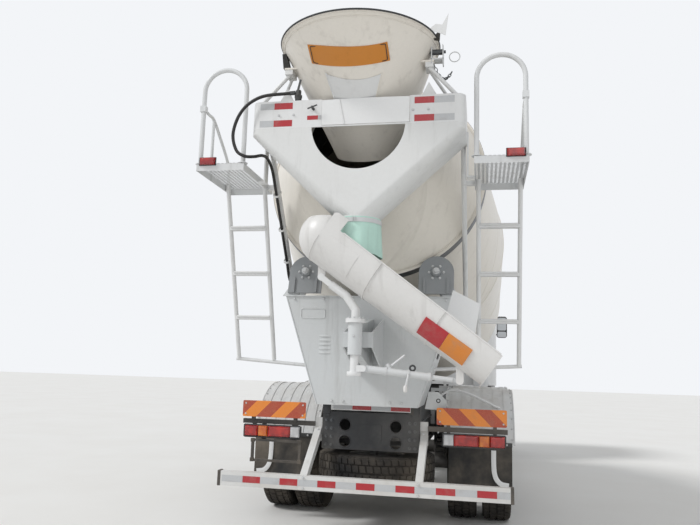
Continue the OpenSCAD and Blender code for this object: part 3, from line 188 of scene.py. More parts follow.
top_dust = math_node(weather, "MULTIPLY", ramp(weather, up, 0.5, 1.0), 0.45)
settled = math_node(weather, "ADD", low_dust, math_node(weather, "ADD", top_dust, 0.22))
settled = math_node(weather, "MULTIPLY", settled, ramp(weather, cloud, 0.3, 0.75))
settled = math_node(weather, "MULTIPLY", settled, inside.outputs["Dust"], True)
streaked = math_node(weather, "MULTIPLY", runs, inside.outputs["Streaks"], True)
coat = mix_color(weather, math_node(weather, "MULTIPLY", fine, 0.10), inside.outputs["Paint"], rgb("8f8a84"),
                 "MULTIPLY")
coat = mix_color(weather, settled, coat, inside.outputs["Dust Color"])
coat = mix_color(weather, math_node(weather, "MULTIPLY", streaked, 0.5), coat, rgb("8d8880"), "MULTIPLY")
grit = math_node(weather, "MULTIPLY", math_node(weather, "ADD", settled, streaked), 0.35)
rough = math_node(weather, "ADD", math_node(weather, "ADD", inside.outputs["Roughness"], grit),
                  math_node(weather, "MULTIPLY", math_node(weather, "SUBTRACT", fine, 0.5), 0.12), True)
weather.links.new(coat, outside.inputs["Color"])
weather.links.new(rough, outside.inputs["Roughness"])
weather.links.new(math_node(weather, "ADD", math_node(weather, "MULTIPLY", cloud, 0.6),
                            math_node(weather, "MULTIPLY", fine, 0.4)), outside.inputs["Height"])

# %% [markdown]
# Edges are where paint gets knocked off. The Bevel node gives the normal that a slightly rounded
# edge would have, and where it leaves the true normal there is an edge. Noise breaks that line
# up, so that the bare metal shows in chips and not as an outline.

# %% Edge wear group
wear, inside, outside = new_group(
    "edge_wear", [("Width", "Float", 0.004), ("Amount", "Float", 0.5)], [("Mask", "Float")])
soft = add(wear, "Bevel", {"samples": 4}, Radius=inside.outputs["Width"]).outputs[0]
facing = add(wear, "VectorMath", {"operation": "DOT_PRODUCT"}, i0=soft,
             i1=add(wear, "NewGeometry").outputs["Normal"]).outputs["Value"]
bend = ramp(wear, math_node(wear, "SUBTRACT", 1.0, facing), 0.02, 0.22)
chips = ramp(wear, noise(wear, add(wear, "TexCoord").outputs["Object"], 22, 5, 0.7), 0.42, 0.58)
wear.links.new(math_node(wear, "MULTIPLY", math_node(wear, "MULTIPLY", bend, chips), inside.outputs["Amount"],
                         True),
               outside.inputs["Mask"])

# %% [markdown]
# Every finish is a Principled shader with the weather group before it. Constants such as the
# coat or the metal share are typed on the shader's own sockets, and only what changes over the
# surface arrives by a link.

# %% Paint, metal, rubber, glass


def shader(name):
    """A new material and its two standing parts: the tree and its Principled shader."""
    made = bpy.data.materials.new(name)
    made.use_nodes = True
    return made, made.node_tree, made.node_tree.nodes["Principled BSDF"]


def finish(name, color, rough=0.4, dust=0.3, streaks=0.2, bump=0.02, scale=1.0, worn=0.0, bare="6a6661",
           metallic=0.0, coat=0.0, dust_color="a79b8c", specular=0.5):
    """A weathered finish: colour and roughness from the weather group, chips from the edge group."""
    made, tree, bsdf = shader(name)
    group = place_group(tree, weather, Paint=rgb(color), Dust_Color=rgb(dust_color), Dust=dust,
                        Streaks=streaks,
                        Roughness=rough)
    color_out = group.outputs["Color"]
    if worn:
        mask = place_group(tree, wear, Width=0.004 * scale, Amount=worn).outputs["Mask"]
        color_out = mix_color(tree, mask, color_out, rgb(bare))
    tree.links.new(color_out, bsdf.inputs["Base Color"])
    tree.links.new(group.outputs["Roughness"], bsdf.inputs["Roughness"])
    bsdf.inputs["Metallic"].default_value = metallic
    bsdf.inputs["Coat Weight"].default_value = coat
    bsdf.inputs["Specular IOR Level"].default_value = specular
    relief = add(tree, "Bump", None, Strength=0.6, Distance=bump, Height=group.outputs["Height"])
    tree.links.new(relief.outputs[0], bsdf.inputs["Normal"])
    return made


MATERIALS = {
    "chassis_black": finish("chassis_black", "232528", 0.45, 0.5, 0.2, 0.002, worn=0.35, bare="5a4a3f",
                            dust_color="8e8a84"),
    "underrun_white": finish("underrun_white", "dcdddc", 0.38, 0.45, 0.35, 0.002, worn=0.3),
    "lamp_red": finish("lamp_red", "1d1d1f", 0.42, 0.35, 0.0, 0.001),
    "marker_orange": finish("marker_orange", "1f2022", 0.45, 0.4, 0.1, 0.001, worn=0.2),
    "guard_white": finish("guard_white", "dadcdd", 0.42, 0.5, 0.5, 0.003, worn=0.25),
    "flap_rubber": finish("flap_rubber", "2b2c2d", 0.78, 0.55, 0.3, 0.003, specular=0.3),
    "body_grey": finish("body_grey", "dedfde", 0.42, 0.35, 0.4, 0.004, worn=0.3),
    "roller_steel": finish("roller_steel", "55585b", 0.38, 0.3, 0.1, 0.001, metallic=0.6, worn=0.4,
                           bare="9a9da0"),
    "drum_paint": finish("drum_paint", "e4dfd5", 0.36, 0.2, 0.3, 0.006, coat=0.15),
    "hopper_cream": finish("hopper_cream", "ebe6dd", 0.38, 0.3, 0.45, 0.004, worn=0.4, bare="57534e"),
    "sleeve_green": finish("sleeve_green", "bfe2d6", 0.6, 0.25, 0.3, 0.004, specular=0.35),
    "portal_white": finish("portal_white", "e2e3e3", 0.38, 0.3, 0.3, 0.003, worn=0.25),
    "chute_white": finish("chute_white", "dddcda", 0.38, 0.3, 0.4, 0.005, worn=0.35),
    "jack_steel": finish("jack_steel", "cfd1d2", 0.4, 0.3, 0.25, 0.002, worn=0.35),
    "drive_grey": finish("drive_grey", "3f4245", 0.5, 0.6, 0.2, 0.003, metallic=0.2, worn=0.3),
    "hose_rubber": finish("hose_rubber", "151516", 0.5, 0.2, 0.0, 0.001),
    "tank_aluminium": finish("tank_aluminium", "b9bcbf", 0.32, 0.4, 0.2, 0.001, metallic=0.9),
    "tyre_black": finish("tyre_black", "1b1b1c", 0.82, 0.7, 0.0, 0.002, dust_color="6f675d", specular=0.3),
    "rim_steel": finish("rim_steel", "8d9092", 0.42, 0.6, 0.2, 0.002, metallic=0.4, worn=0.35, bare="5b4a3e"),
    "cab_white": finish("cab_white", "e6e7e7", 0.25, 0.15, 0.05, 0.001, coat=0.6),
    "bumper_grey": finish("bumper_grey", "8b8f92", 0.4, 0.4, 0.1, 0.001),
    "step_black": finish("step_black", "1c1e20", 0.55, 0.5, 0.1, 0.002),
    "trim_dark": finish("trim_dark", "303235", 0.65, 0.1, 0.0, 0.001),
}
glass, tree, bsdf = shader("glass_clear")
bsdf.inputs["Base Color"].default_value = rgb("c4d2d4")
bsdf.inputs["Transmission Weight"].default_value = 0.85
bsdf.inputs["IOR"].default_value = 1.45
smear = noise(tree, add(tree, "TexCoord").outputs["Object"], 3.0, 4)
tree.links.new(math_node(tree, "MULTIPLY", smear, 0.12), bsdf.inputs["Roughness"])
MATERIALS["glass_clear"] = glass

SLOT_OF = {part["node"]: part["material_slot"] for part in frame["record"]["subparts"]}
for label, solid in NODES.items():
    solid.data.materials.clear()
    solid.data.materials.append(MATERIALS[SLOT_OF[label]])
print("finishes:", len(MATERIALS))

# %% [markdown]
# The light is plain and soft: a wide pale sky and one large lamp from the left, as on a bright
# hazy day. The floor is pale. The sky is brighter where it is seen, straight on or in reflections,
# than in the light it casts, so that the object isn't lit more than it should be.

# %% Light and floor
SCENE.view_settings.view_transform = "Standard"
world = bpy.data.worlds.new("pale_sky")
world.use_nodes = True
SCENE.world = world
tree = world.node_tree
path = add(tree, "LightPath")
seen = math_node(tree, "MAXIMUM", path.outputs["Is Camera Ray"],
                 math_node(tree, "MAXIMUM", path.outputs["Is Glossy Ray"], path.outputs["Is Transmission Ray"]))
sky = tree.nodes["Background"]
sky.inputs["Color"].default_value = rgb("f3f5f8")
tree.links.new(math_node(tree, "ADD", math_node(tree, "MULTIPLY", seen, 0.42), 0.58), sky.inputs["Strength"])


def sun(name, strength, tilt, turn, size):
    """A distant lamp: tilt from straight above, turn about the vertical, size as its angle."""
    lamp = bpy.data.lights.new(name, "SUN")
    lamp.energy = strength
    lamp.angle = math.radians(size)
    holder = bpy.data.objects.new(name, lamp)
    holder.rotation_euler = (math.radians(tilt), 0, math.radians(turn))
    SCENE.collection.objects.link(holder)


sun("key", 1.7, 48, -62, 14)
sun("fill", 0.5, 62, 25, 60)


def floor_material():
    """Pale ground: its own colour takes the shadows, and a noise keeps it from looking printed."""
    made, tree, bsdf = shader("pale_floor")
    spots = noise(tree, add(tree, "TexCoord").outputs["Object"], 0.7, 6, 0.6)
    tree.links.new(mix_color(tree, spots, rgb("e2e0dc"), rgb("ececea")), bsdf.inputs["Base Color"])
    bsdf.inputs["Roughness"].default_value = 0.9
    return made


FLOOR_HALF = 60
ground = bpy.data.meshes.new("floor")
corners = [(x * FLOOR_HALF, y * FLOOR_HALF, 0) for x, y in ((-1, -1), (1, -1), (1, 1), (-1, 1))]
ground.from_pydata(corners, [], [(0, 1, 2, 3)])
ground.materials.append(floor_material())
floor = bpy.data.objects.new("floor", ground)
SCENE.collection.objects.link(floor)

# %% [markdown]
# New pieces are surfaces worked out as whole arrays. A grid of points needs only the numbers of
# its corners to become faces, so one function serves tyres, tubes and turned parts alike. Each
# mesh then has its doubles merged, which closes seams and poles, and its faces turned outwards.

# %% Mesh helpers


def grid(rows, cols, close_rows=False, close_cols=False):
    """Quads of a rows by cols grid of points; a closed direction joins its last line to its first."""
    i = np.arange(rows if close_rows else rows - 1)[:, None]
    j = np.arange(cols if close_cols else cols - 1)[None, :]
    down, right = (i + 1) % rows, (j + 1) % cols
    return np.stack([i * cols + j, down * cols + j, down * cols + right, i * cols + right], -1).reshape(-1, 4)


def unit(v):
    """Vectors of length 1 along the last axis."""
    return v / np.linalg.norm(v, axis=-1, keepdims=True)


def join(shapes):
    """Several (points, faces) as one; faces are renumbered past the points before them."""
    starts = np.cumsum([0] + [len(points) for points, _ in shapes[:-1]])
    points = np.concatenate([points for points, _ in shapes])
    return points, [tuple(int(n + start) for n in face) for (_, faces), start in zip(shapes, starts)
                    for face in faces]


def copies(shape, places, turns=None):
    """A small shape at many places: each point is turned by its copy's 3 by 3 matrix, then moved."""
    points, faces = shape
    if turns is None:
        turns = np.repeat(np.eye(3)[None], len(places), 0)
    moved = np.einsum("kij,nj->kni", np.asarray(turns, float), points) + np.asarray(places, float)[:, None, :]
    step = len(points)
    return moved.reshape(-1, 3), [tuple(int(n) + k * step for n in face) for k in range(len(moved))
                                  for face in faces]


def piece(name, shape, body, slot, look=None, smooth=35, bevel=0.0):
    """A finished piece: closed, facing outwards, smooth up to an angle, riding on its body.

    Its finish is the one named by look, or else the record slot's own."""
    points, faces = shape
    mesh = bpy.data.meshes.new(name)
    mesh.from_pydata(np.asarray(points, float).tolist(), [], [tuple(face) for face in faces])
    work = bmesh.new()
    work.from_mesh(mesh)
    bmesh.ops.remove_doubles(work, verts=work.verts, dist=1e-6)
    bmesh.ops.recalc_face_normals(work, faces=work.faces)
    work.to_mesh(mesh)
    work.free()
    mesh.shade_smooth()
    mesh.set_sharp_from_angle(angle=math.radians(smooth))
    mesh.materials.append(MATERIALS[look or slot])
    made = bpy.data.objects.new(name, mesh)
    SCENE.collection.objects.link(made)
    if bevel:
        rounding = made.modifiers.new("edges", "BEVEL")
        rounding.width, rounding.segments, rounding.limit_method = bevel, 2, "ANGLE"
    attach(made, body)
    return made


def block(low, high):
    """A box between two corners, or one box a row where the corners are arrays."""
    low, high = np.atleast_2d(low).astype(float), np.atleast_2d(high).astype(float)
    pick = np.array([[x, y, z] for z in (0, 1) for x, y in ((0, 0), (1, 0), (1, 1), (0, 1))])
    points = (low[:, None, :] * (1 - pick) + high[:, None, :] * pick).reshape(-1, 3)
    sides = [(0, 3, 2, 1), (4, 5, 6, 7), (0, 1, 5, 4), (1, 2, 6, 5), (2, 3, 7, 6), (3, 0, 4, 7)]
    return points, [tuple(n + 8 * k for n in side) for k in range(len(low)) for side in sides]


def prism(outline, low, high):
    """A flat outline of (x, y) points carried from one height to another along z, with its two caps."""
    flat = np.asarray(outline, float)
    n = len(flat)
    points = np.concatenate([np.c_[flat, np.full(n, low)], np.c_[flat, np.full(n, high)]])
    return points, [tuple(range(n))[::-1], tuple(range(n, 2 * n)), *map(tuple, grid(2, n, close_cols=True))]


def turned(profile, steps=48, closed=True):
    """A profile of (radius, height) points turned about z; radius times cosine and sine of the turn."""
    profile = np.asarray(profile, float)
    turn = np.linspace(0, 2 * np.pi, steps, endpoint=False)[:, None]
    points = np.stack([profile[:, 0] * np.cos(turn), profile[:, 0] * np.sin(turn),
                       profile[:, 1] + 0 * turn], -1).reshape(-1, 3)
    return points, [tuple(face) for face in grid(steps, len(profile), True, closed)]


def smooth_path(points, steps=8):
    """A Catmull-Rom curve: each stretch is a cubic that leaves along the line past its neighbours."""
    p = np.asarray(points, float)
    p = np.concatenate([[2 * p[0] - p[1]], p, [2 * p[-1] - p[-2]]])
    t = np.linspace(0, 1, steps, endpoint=False)[None, :, None]
    a, b, c, d = (p[k:len(p) - 3 + k, None, :] for k in range(4))
    curve = 0.5 * (2 * b + (c - a) * t + (2 * a - 5 * b + 4 * c - d) * t ** 2 + (3 * b - a - 3 * c + d)
                   * t ** 3)
    return np.concatenate([curve.reshape(-1, 3), p[-2:-1]])


def swept(path, profile, top=(0, 0, 1)):
    """A closed (side, up) profile carried along a path; side is across the path and the top direction."""
    path, profile = np.asarray(path, float), np.asarray(profile, float)
    along = unit(np.gradient(path, axis=0))
    side = unit(np.cross(along, np.asarray(top, float)))
    above = np.cross(side, along)
    points = path[:, None] + side[:, None] * profile[None, :, :1] + above[:, None] * profile[None, :, 1:]
    n, last = len(profile), (len(path) - 1) * len(profile)
    caps = [tuple(range(n)), tuple(range(last, last + n))[::-1]]
    return points.reshape(-1, 3), [*map(tuple, grid(len(path), n, close_cols=True)), *caps]


def circle(radius, sides=16):
    """Points round a circle."""
    turn = np.linspace(0, 2 * np.pi, sides, endpoint=False)
    return np.stack([radius * np.cos(turn), radius * np.sin(turn)], -1)


def rounded(width, depth, radius, steps=6):
    """A rectangle about the middle with its corners turned into quarter circles."""
    turn = (np.arange(4)[:, None] + np.linspace(0, 1, steps)[None]) * np.pi / 2
    centre = np.array([[1, 1], [-1, 1], [-1, -1], [1, -1]]) * (np.array([width, depth]) / 2 - radius)
    return (centre[:, None] + radius * np.stack([np.cos(turn), np.sin(turn)], -1)).reshape(-1, 2)


def tube(points, radius, sides=14, top=(0, 0, 1)):
    """A round tube along straight stretches or a fine curve."""
    return swept(points, circle(radius, sides), top)


def facing_turn(axis):
    """A 3 by 3 turn that carries z onto the axis."""
    z = unit(np.asarray(axis, float))
    x = unit(np.cross([0.3, 1, 0.2] if abs(z[1]) < 0.9 else [1, 0.2, 0.1], z))
    return np.stack([x, np.cross(z, x), z], 1)


def moved(shape, offset=(0, 0, 0), turn=None):
    """A shape turned by a 3 by 3 matrix and then moved."""
    points = shape[0] if turn is None else shape[0] @ np.asarray(turn, float).T
    return points + np.asarray(offset, float), shape[1]


def mirrored(shape, signs=(-1, 1, 1)):
    """The other side's shape; a mirror turns faces inside out, so their corners are read backwards."""
    return shape[0] * signs, [face[::-1] for face in shape[1]]


def bolt_head(size=0.024):
    """A washer and a six-sided head with its chamfered top, turned from one stepped profile."""
    head = [(0, 0.72), (0.40, 0.72), (0.5, 0.62), (0.5, 0.12), (0, 0.12)]
    washer = [(0, 0.12), (0.66, 0.12), (0.66, 0), (0, 0)]
    return join([turned(np.array(head) * size, 6, False), turned(np.array(washer) * size, 16, False)])


def bolts(name, places, axis, body, slot="jack_steel", size=0.024, look=None):
    """Bolt heads at the places, all facing along one axis."""
    turns = np.repeat(facing_turn(axis)[None], len(places), 0)
    return piece(name, copies(bolt_head(size), places, turns), body, slot, look)


def at(x, y, z):
    """A point given in millimetres, with its station counted from the underrun bar's rear face."""
    return np.array([x / 1000, y / 1000 + REAR, z / 1000])


# %% [markdown]
# Reflective tape is a sheet of tiny glass prisms under clear plastic. Close to, it shows a fine
# lattice and a soft shine. The lattice here is made of two crossing waves, which costs less than
# drawn cells and still breaks up the light.

# %% Tape and lens finishes


def tape_finish(name, color, pale, rough=0.32):
    """Prismatic sheet: a diamond lattice of two crossing waves lightens the colour."""
    made, tree, bsdf = shader(name)
    place = add(tree, "TexCoord").outputs["Object"]
    bands = []
    for turn in (45, -45):
        flat = add(tree, "Mapping", None, Vector=place, Rotation=(0, math.radians(turn), 0)).outputs[0]
        bands.append(add(tree, "TexWave", {"bands_direction": "X"}, Vector=flat, Scale=42).outputs["Fac"])
    lattice = ramp(tree, math_node(tree, "MAXIMUM", *bands), 0.82, 0.98)
    dirt = ramp(tree, noise(tree, place, 9, 5, 0.65), 0.45, 0.8)
    color_out = mix_color(tree, math_node(tree, "MULTIPLY", lattice, 0.35), rgb(color), rgb(pale))
    color_out = mix_color(tree, math_node(tree, "MULTIPLY", dirt, 0.35), color_out, rgb("8c857c"))
    tree.links.new(color_out, bsdf.inputs["Base Color"])
    tree.links.new(math_node(tree, "ADD", math_node(tree, "MULTIPLY", dirt, 0.3), rough),
                   bsdf.inputs["Roughness"])
    bsdf.inputs["Coat Weight"].default_value = 0.4
    return made


MATERIALS["tape_red"] = tape_finish("tape_red", "a5131f", "cc3f48")
MATERIALS["tape_silver"] = tape_finish("tape_silver", "b4b6b8", "dcdddd")
MATERIALS["tape_amber"] = tape_finish("tape_amber", "d0781a", "eba64a")


def striped_finish(name, slope):
    """Slanted red and orange stripes: the sine of x plus slope times z is above or below zero."""
    made, tree, bsdf = shader(name)
    place = add(tree, "SeparateXYZ", None, Vector=add(tree, "TexCoord").outputs["Object"])
    slant = math_node(tree, "ADD", place.outputs[0], math_node(tree, "MULTIPLY", place.outputs[2], slope))
    wave = add(tree, "Math", {"operation": "SINE"},
               i0=math_node(tree, "MULTIPLY", slant, math.pi / STRIPE_W)).outputs[0]
    stripe = ramp(tree, wave, -0.02, 0.02)
    dirt = ramp(tree, noise(tree, add(tree, "TexCoord").outputs["Object"], 11, 5, 0.65), 0.45, 0.85)
    cell = add(tree, "TexVoronoi", None, Vector=add(tree, "TexCoord").outputs["Object"],
               Scale=190).outputs["Distance"]
    color_out = mix_color(tree, stripe, rgb("9c1415"), rgb("e07d14"))
    color_out = mix_color(tree, math_node(tree, "MULTIPLY", cell, 0.25), color_out, rgb("f6b36a"))
    color_out = mix_color(tree, math_node(tree, "MULTIPLY", dirt, 0.3), color_out, rgb("8c7a68"))
    tree.links.new(color_out, bsdf.inputs["Base Color"])
    tree.links.new(math_node(tree, "ADD", math_node(tree, "MULTIPLY", dirt, 0.3), 0.3),
                   bsdf.inputs["Roughness"])
    bsdf.inputs["Coat Weight"].default_value = 0.4
    return made


STRIPE_W = 0.135
MATERIALS["stripes_left"] = striped_finish("stripes_left", -1.0)
MATERIALS["stripes_right"] = striped_finish("stripes_right", 1.0)


def lens_finish(name, color, glow):
    """Ribbed lamp plastic: clear colour with fine upright ribs in its normal."""
    made, tree, bsdf = shader(name)
    place = add(tree, "TexCoord").outputs["Object"]
    ribs = add(tree, "TexWave", {"bands_direction": "X"}, Vector=place, Scale=26).outputs["Fac"]
    patch = noise(tree, place, 14, 3)
    tree.links.new(mix_color(tree, ramp(tree, patch, 0.35, 0.7), rgb(color), rgb(glow)),
                   bsdf.inputs["Base Color"])
    bsdf.inputs["Roughness"].default_value = 0.12
    bsdf.inputs["Transmission Weight"].default_value = 0.25
    bsdf.inputs["Coat Weight"].default_value = 0.8
    tree.links.new(add(tree, "Bump", None, Strength=0.35, Distance=0.002, Height=ribs).outputs[0],
                   bsdf.inputs["Normal"])
    return made


MATERIALS["lens_red"] = lens_finish("lens_red", "a01316", "cf2a20")
MATERIALS["lens_amber"] = lens_finish("lens_amber", "d9641a", "f08a2a")
MATERIALS["lens_clear"] = lens_finish("lens_clear", "cfcfd0", "f0f0f0")

# %% [markdown]
# The underrun bar carries red and silver tape along its whole rear face, and a black rubber cap
# closes each end. The tape is a row of thin plates: the reds at one pitch, the silver between.

# %% Tape on the underrun bar
BAR_LOW, BAR_HIGH = (np.array(corner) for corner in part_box("rear_underrun"))
BAR_Z = 0.512
TAPE_T, TAPE_H = 0.0012, 0.052
RED_W, RED_PITCH, RED_FIRST = 0.150, 0.3165, -0.978
red_x = RED_FIRST + RED_PITCH * np.arange(7)


def strips(name, starts, ends, y, z0, z1, look, body="root", slot="underrun_white"):
    """Flat tape plates with their faces at station row y, one from each start to its end."""
    starts, ends = np.atleast_1d(starts), np.atleast_1d(ends)
    low = np.stack([starts, np.full(len(starts), y - TAPE_T), np.full(len(starts), z0)], 1)
    high = np.stack([ends, np.full(len(starts), y), np.full(len(starts), z1)], 1)
    return piece(name, block(low, high), body, slot, look)


TAPE_Z = (BAR_Z - TAPE_H / 2, BAR_Z + TAPE_H / 2)
strips("bar_tape_red", red_x, red_x + RED_W, REAR, *TAPE_Z, "tape_red")
silver_from = np.r_[-1.16, red_x + RED_W]
silver_to = np.r_[red_x, 1.17]
strips("bar_tape_silver", silver_from + 0.001, silver_to - 0.001, REAR, *TAPE_Z, "tape_silver")
CAP_L, CAP_OUT, CAP_HALF, CAP_BACK = 0.022, 0.004, 0.062, REAR + 0.064
cap_x = [(BAR_LOW[0] - CAP_OUT, BAR_LOW[0] + CAP_L), (BAR_HIGH[0] - CAP_L, BAR_HIGH[0] + CAP_OUT)]
caps = block([(x0, REAR - CAP_OUT, BAR_Z - CAP_HALF) for x0, _ in cap_x],
             [(x1, CAP_BACK, BAR_Z + CAP_HALF) for _, x1 in cap_x])
piece("bar_end_caps", caps, "root", "step_black", bevel=0.004)

# %% [markdown]
# The two marker boards are thin sheet with rounded corners and slanted stripes that rise towards
# the middle of the truck. Each face plate lies on its board and hides the dark sheet behind.

# %% Marker boards
BOARD_X, BOARD_Z, BOARD_W, BOARD_H = 0.870, 1.058, 0.586, 0.142
BOARD_Y = REAR + 0.440


def upright_plate(width, high, radius, centre, thick):
    """A rounded plate that faces backwards, its back at the centre's station."""
    flat, faces = prism(rounded(width, high, radius), 0, thick)
    return np.stack([flat[:, 0], -flat[:, 2], flat[:, 1]], 1) + np.asarray(centre, float), faces


for side, label in ((-1, "left"), (1, "right")):
    piece(f"board_face_{label}", upright_plate(BOARD_W, BOARD_H, 0.012, (side * BOARD_X, BOARD_Y, BOARD_Z),
                                               0.003),
          "root", "marker_orange", f"stripes_{label}")
corner_bolts = [(side * BOARD_X + dx, BOARD_Y - 0.003, BOARD_Z + dz)
                for side in (-1, 1) for dx in (-0.265, 0.265) for dz in (-0.045, 0.045)]
bolts("board_bolts", corner_bolts, (0, -1, 0), "root", size=0.012)

# %% [markdown]
# A tail lamp is one long moulding with a clear reversing lamp inboard, then red, orange and red
# lenses. Each lens is a crowned shell: its depth falls off towards the edges by a rounded square.

# %% Tail lamps
LAMP_X, LAMP_Z, LAMP_Y = 0.890, 0.862, REAR + 0.465
LENS_PARTS = [  # how far from the inboard end each lens starts and ends, and its plastic
    (0.004, 0.090, "lens_clear"), (0.092, 0.300, "lens_red"), (0.302, 0.390, "lens_amber"), (0.392, 0.516, "lens_red")]
LENS_H, LENS_DEEP = 0.094, 0.014


def crowned(width, high, deep, n=14):
    """A lens: depth times the eighth root of one minus u to the 8th, times the same across."""
    u = np.linspace(-1, 1, n)[:, None]
    v = np.linspace(-1, 1, n)[None, :]
    depth = deep * ((1 - u ** 8) * (1 - v ** 8)) ** 0.25
    front = np.stack([u * width / 2 + 0 * v, -depth - 0.001, v * high / 2 + 0 * u], -1).reshape(-1, 3)
    back = front * [1, 0, 1]
    faces, size = grid(n, n), n * n
    edge = np.r_[np.arange(n - 1), np.arange(n - 1, size - 1, n), np.arange(size - 1, size - n, -1),
                 np.arange(size - n, 0, -n)]
    rim = np.stack([edge, np.roll(edge, -1), np.roll(edge, -1) + size, edge + size], 1)
    return np.concatenate([front, back]), [*map(tuple, faces), *map(tuple, faces[:, ::-1] + size),
                                           *map(tuple, rim)]


for side, label in ((-1, "left"), (1, "right")):
    for k, (start, end, plastic) in enumerate(LENS_PARTS):
        inner = side * (LAMP_X - 0.260)
        middle = inner + side * (start + end) / 2
        piece(f"lens_{label}_{k}", moved(crowned(end - start, LENS_H, LENS_DEEP), (middle, LAMP_Y, LAMP_Z)),
              "root", "lamp_red", plastic)

# %% [markdown]
# The white bar between the uprights and the cross beam over the hopper carry the same tape, in
# two rows. The beam's rows stop where the feed hopper's throat comes through.

# %% Tape on the white bar and the cross beam
WHITE_Y = REAR + 0.454
WHITE_T, ROW_W = 0.002, 0.168
white = block((-0.352, WHITE_Y - WHITE_T, 1.076), (0.352, WHITE_Y, 1.177))
piece("white_bar_face", white, "root", "portal_white")
row_x = np.array([-0.330, -0.160, 0.010, 0.180])
for z0, z1, label in ((1.083, 1.121, "low"), (1.132, 1.170, "high")):
    for color, first in (("silver", 0), ("red", 1)):
        starts = row_x[first::2]
        strips(f"white_bar_{color}_{label}", starts, starts + ROW_W, WHITE_Y - WHITE_T, z0, z1,
               f"tape_{color}")
BEAM_Y = REAR - 0.630
for z0, z1, label in ((3.300, 3.352, "low"), (3.442, 3.494, "high")):
    strips(f"beam_tape_red_{label}", [-0.655, 0.455], [-0.505, 0.605], BEAM_Y, z0, z1, "tape_red")
    strips(f"beam_tape_silver_{label}", [-0.770, 0.607], [-0.657, 0.757], BEAM_Y, z0, z1, "tape_silver")

# %% [markdown]
# A truck tyre's tread is rows of blocks cut by cross grooves and by zigzag grooves round the
# wheel. The surface is a grid: one direction runs round the wheel, the other from bead to bead.
# Lines of the grid lie exactly on the groove edges, so the blocks stay crisp with few faces.

# %% Tyres
TYRE_R, TYRE_W, RIM_R = 0.535, 0.280, 0.2623
GROOVE = 0.013
PITCHES = 52
SIDE_WALL = [  # share of the half width, radius, from the tread's edge down to the bead
    (0.93, TYRE_R - 0.022), (0.975, TYRE_R - 0.050), (0.985, TYRE_R - 0.085), (0.965, TYRE_R - 0.090), (1.0,
        RIM_R + 0.125),
    (1.0, RIM_R + 0.085), (0.97, RIM_R + 0.045), (0.90, RIM_R + 0.020), (0.80, RIM_R)]
RIBS = [  # share of the half width where a row of blocks starts and ends, and its turn in pitches
    (-0.86, -0.52, 0.0), (-0.46, -0.06, 0.5), (0.06, 0.46, 0.0), (0.52, 0.86, 0.5)]


def tyre(chevron=0.35):
    """A tyre about x: the radius over (turn, width), lowered by the groove depth between blocks."""
    width, cut, shift = [], [], []
    for start, end, offset in RIBS:
        lip = 0.012
        width += [start, start + lip, (start + end) / 2, end - lip, end]
        cut += [1, 0, 0, 0, 1]
        shift += [offset + chevron * abs(w) for w in width[-5:]]
    width, cut, shift = (np.array(v, float) for v in (width, cut, shift))
    crown = TYRE_R - 0.008 * np.abs(width) ** 2.5
    side_w, side_r = np.array(SIDE_WALL).T
    pitch = np.array([0.0, 0.16, 0.19, 0.97])
    low = np.array([1.0, 1.0, 0.0, 0.0])
    turn = (np.arange(PITCHES)[:, None] + pitch[None]).ravel()[:, None] / PITCHES
    lowered = np.maximum(np.tile(low, PITCHES)[:, None] * 0.8, cut[None])
    tread_r = crown[None] - GROOVE * lowered
    tread_turn = turn + shift[None] / PITCHES
    shoulder = 0.010 * np.tile(low, PITCHES)[:, None] * (np.arange(len(side_w)) < 2)[None]
    wall_r = side_r[None] - shoulder + 0 * turn
    radius = np.concatenate([wall_r[:, ::-1], tread_r, wall_r], 1)
    across = np.concatenate([-side_w[::-1], width, side_w]) * TYRE_W / 2
    around = 2 * np.pi * np.concatenate([turn + shift[0] / PITCHES + 0 * wall_r, tread_turn,
                                         turn + shift[-1] / PITCHES + 0 * wall_r], 1)
    points = np.stack([across[None] + 0 * radius, radius * np.sin(around), radius * np.cos(around)], -1)
    return points.reshape(-1, 3), [*map(tuple, grid(radius.shape[0], radius.shape[1], True, True))]


AXLES = {"front": 7.100, "mid": 3.100, "rear": 1.750}
TWIN_X, TWIN_STEP, FRONT_X = 0.930, 0.165, 1.020
for axle, station in AXLES.items():
    for side, label in ((-1, "l"), (1, "r")):
        twin = axle != "front"
        across = [side * TWIN_X - TWIN_STEP, side * TWIN_X + TWIN_STEP] if twin else [side * FRONT_X]
        shape = join([moved(tyre(), (x, station + REAR, TYRE_R)) for x in across])
        solid = f"tyres_{axle}_{label}" if twin else f"tyre_front_{label}"
        body = f"wheels_{axle}_{label}" if twin else f"wheel_front_{label}"
        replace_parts(piece(f"{solid}_tread", shape, body, "tyre_black", smooth=30), solid)

# %% [markdown]
# Sheets are made from two grids of points of the same size, a front and a back one, joined round
# their edge. Plates bent round the chute, skins on the hopper's cone and folded rubber all use it.

# %% Sheets from two grids


def slab(front, back):
    """Two grids of points of one size, closed along their common edge."""
    rows, cols = front.shape[:2]
    size = rows * cols
    quads, line = grid(rows, cols), np.arange(rows * cols).reshape(rows, cols)
    edge = np.concatenate([line[0, :-1], line[:-1, -1], line[-1, :0:-1], line[:0:-1, 0]])
    rim = np.stack([edge, np.roll(edge, -1), np.roll(edge, -1) + size, edge + size], 1)
    return (np.concatenate([front.reshape(-1, 3), back.reshape(-1, 3)]),
            [*map(tuple, quads), *map(tuple, quads[:, ::-1] + size), *map(tuple, rim)])


def flat_plate(outline, front, thick, axis="y"):
    """An (across, up) outline in metres as a plate that starts at the front value and goes on by thick."""
    flat, faces = prism(outline, front, front + thick)
    order = {"y": [0, 2, 1], "x": [2, 0, 1], "z": [0, 1, 2]}[axis]
    return flat[:, order], faces


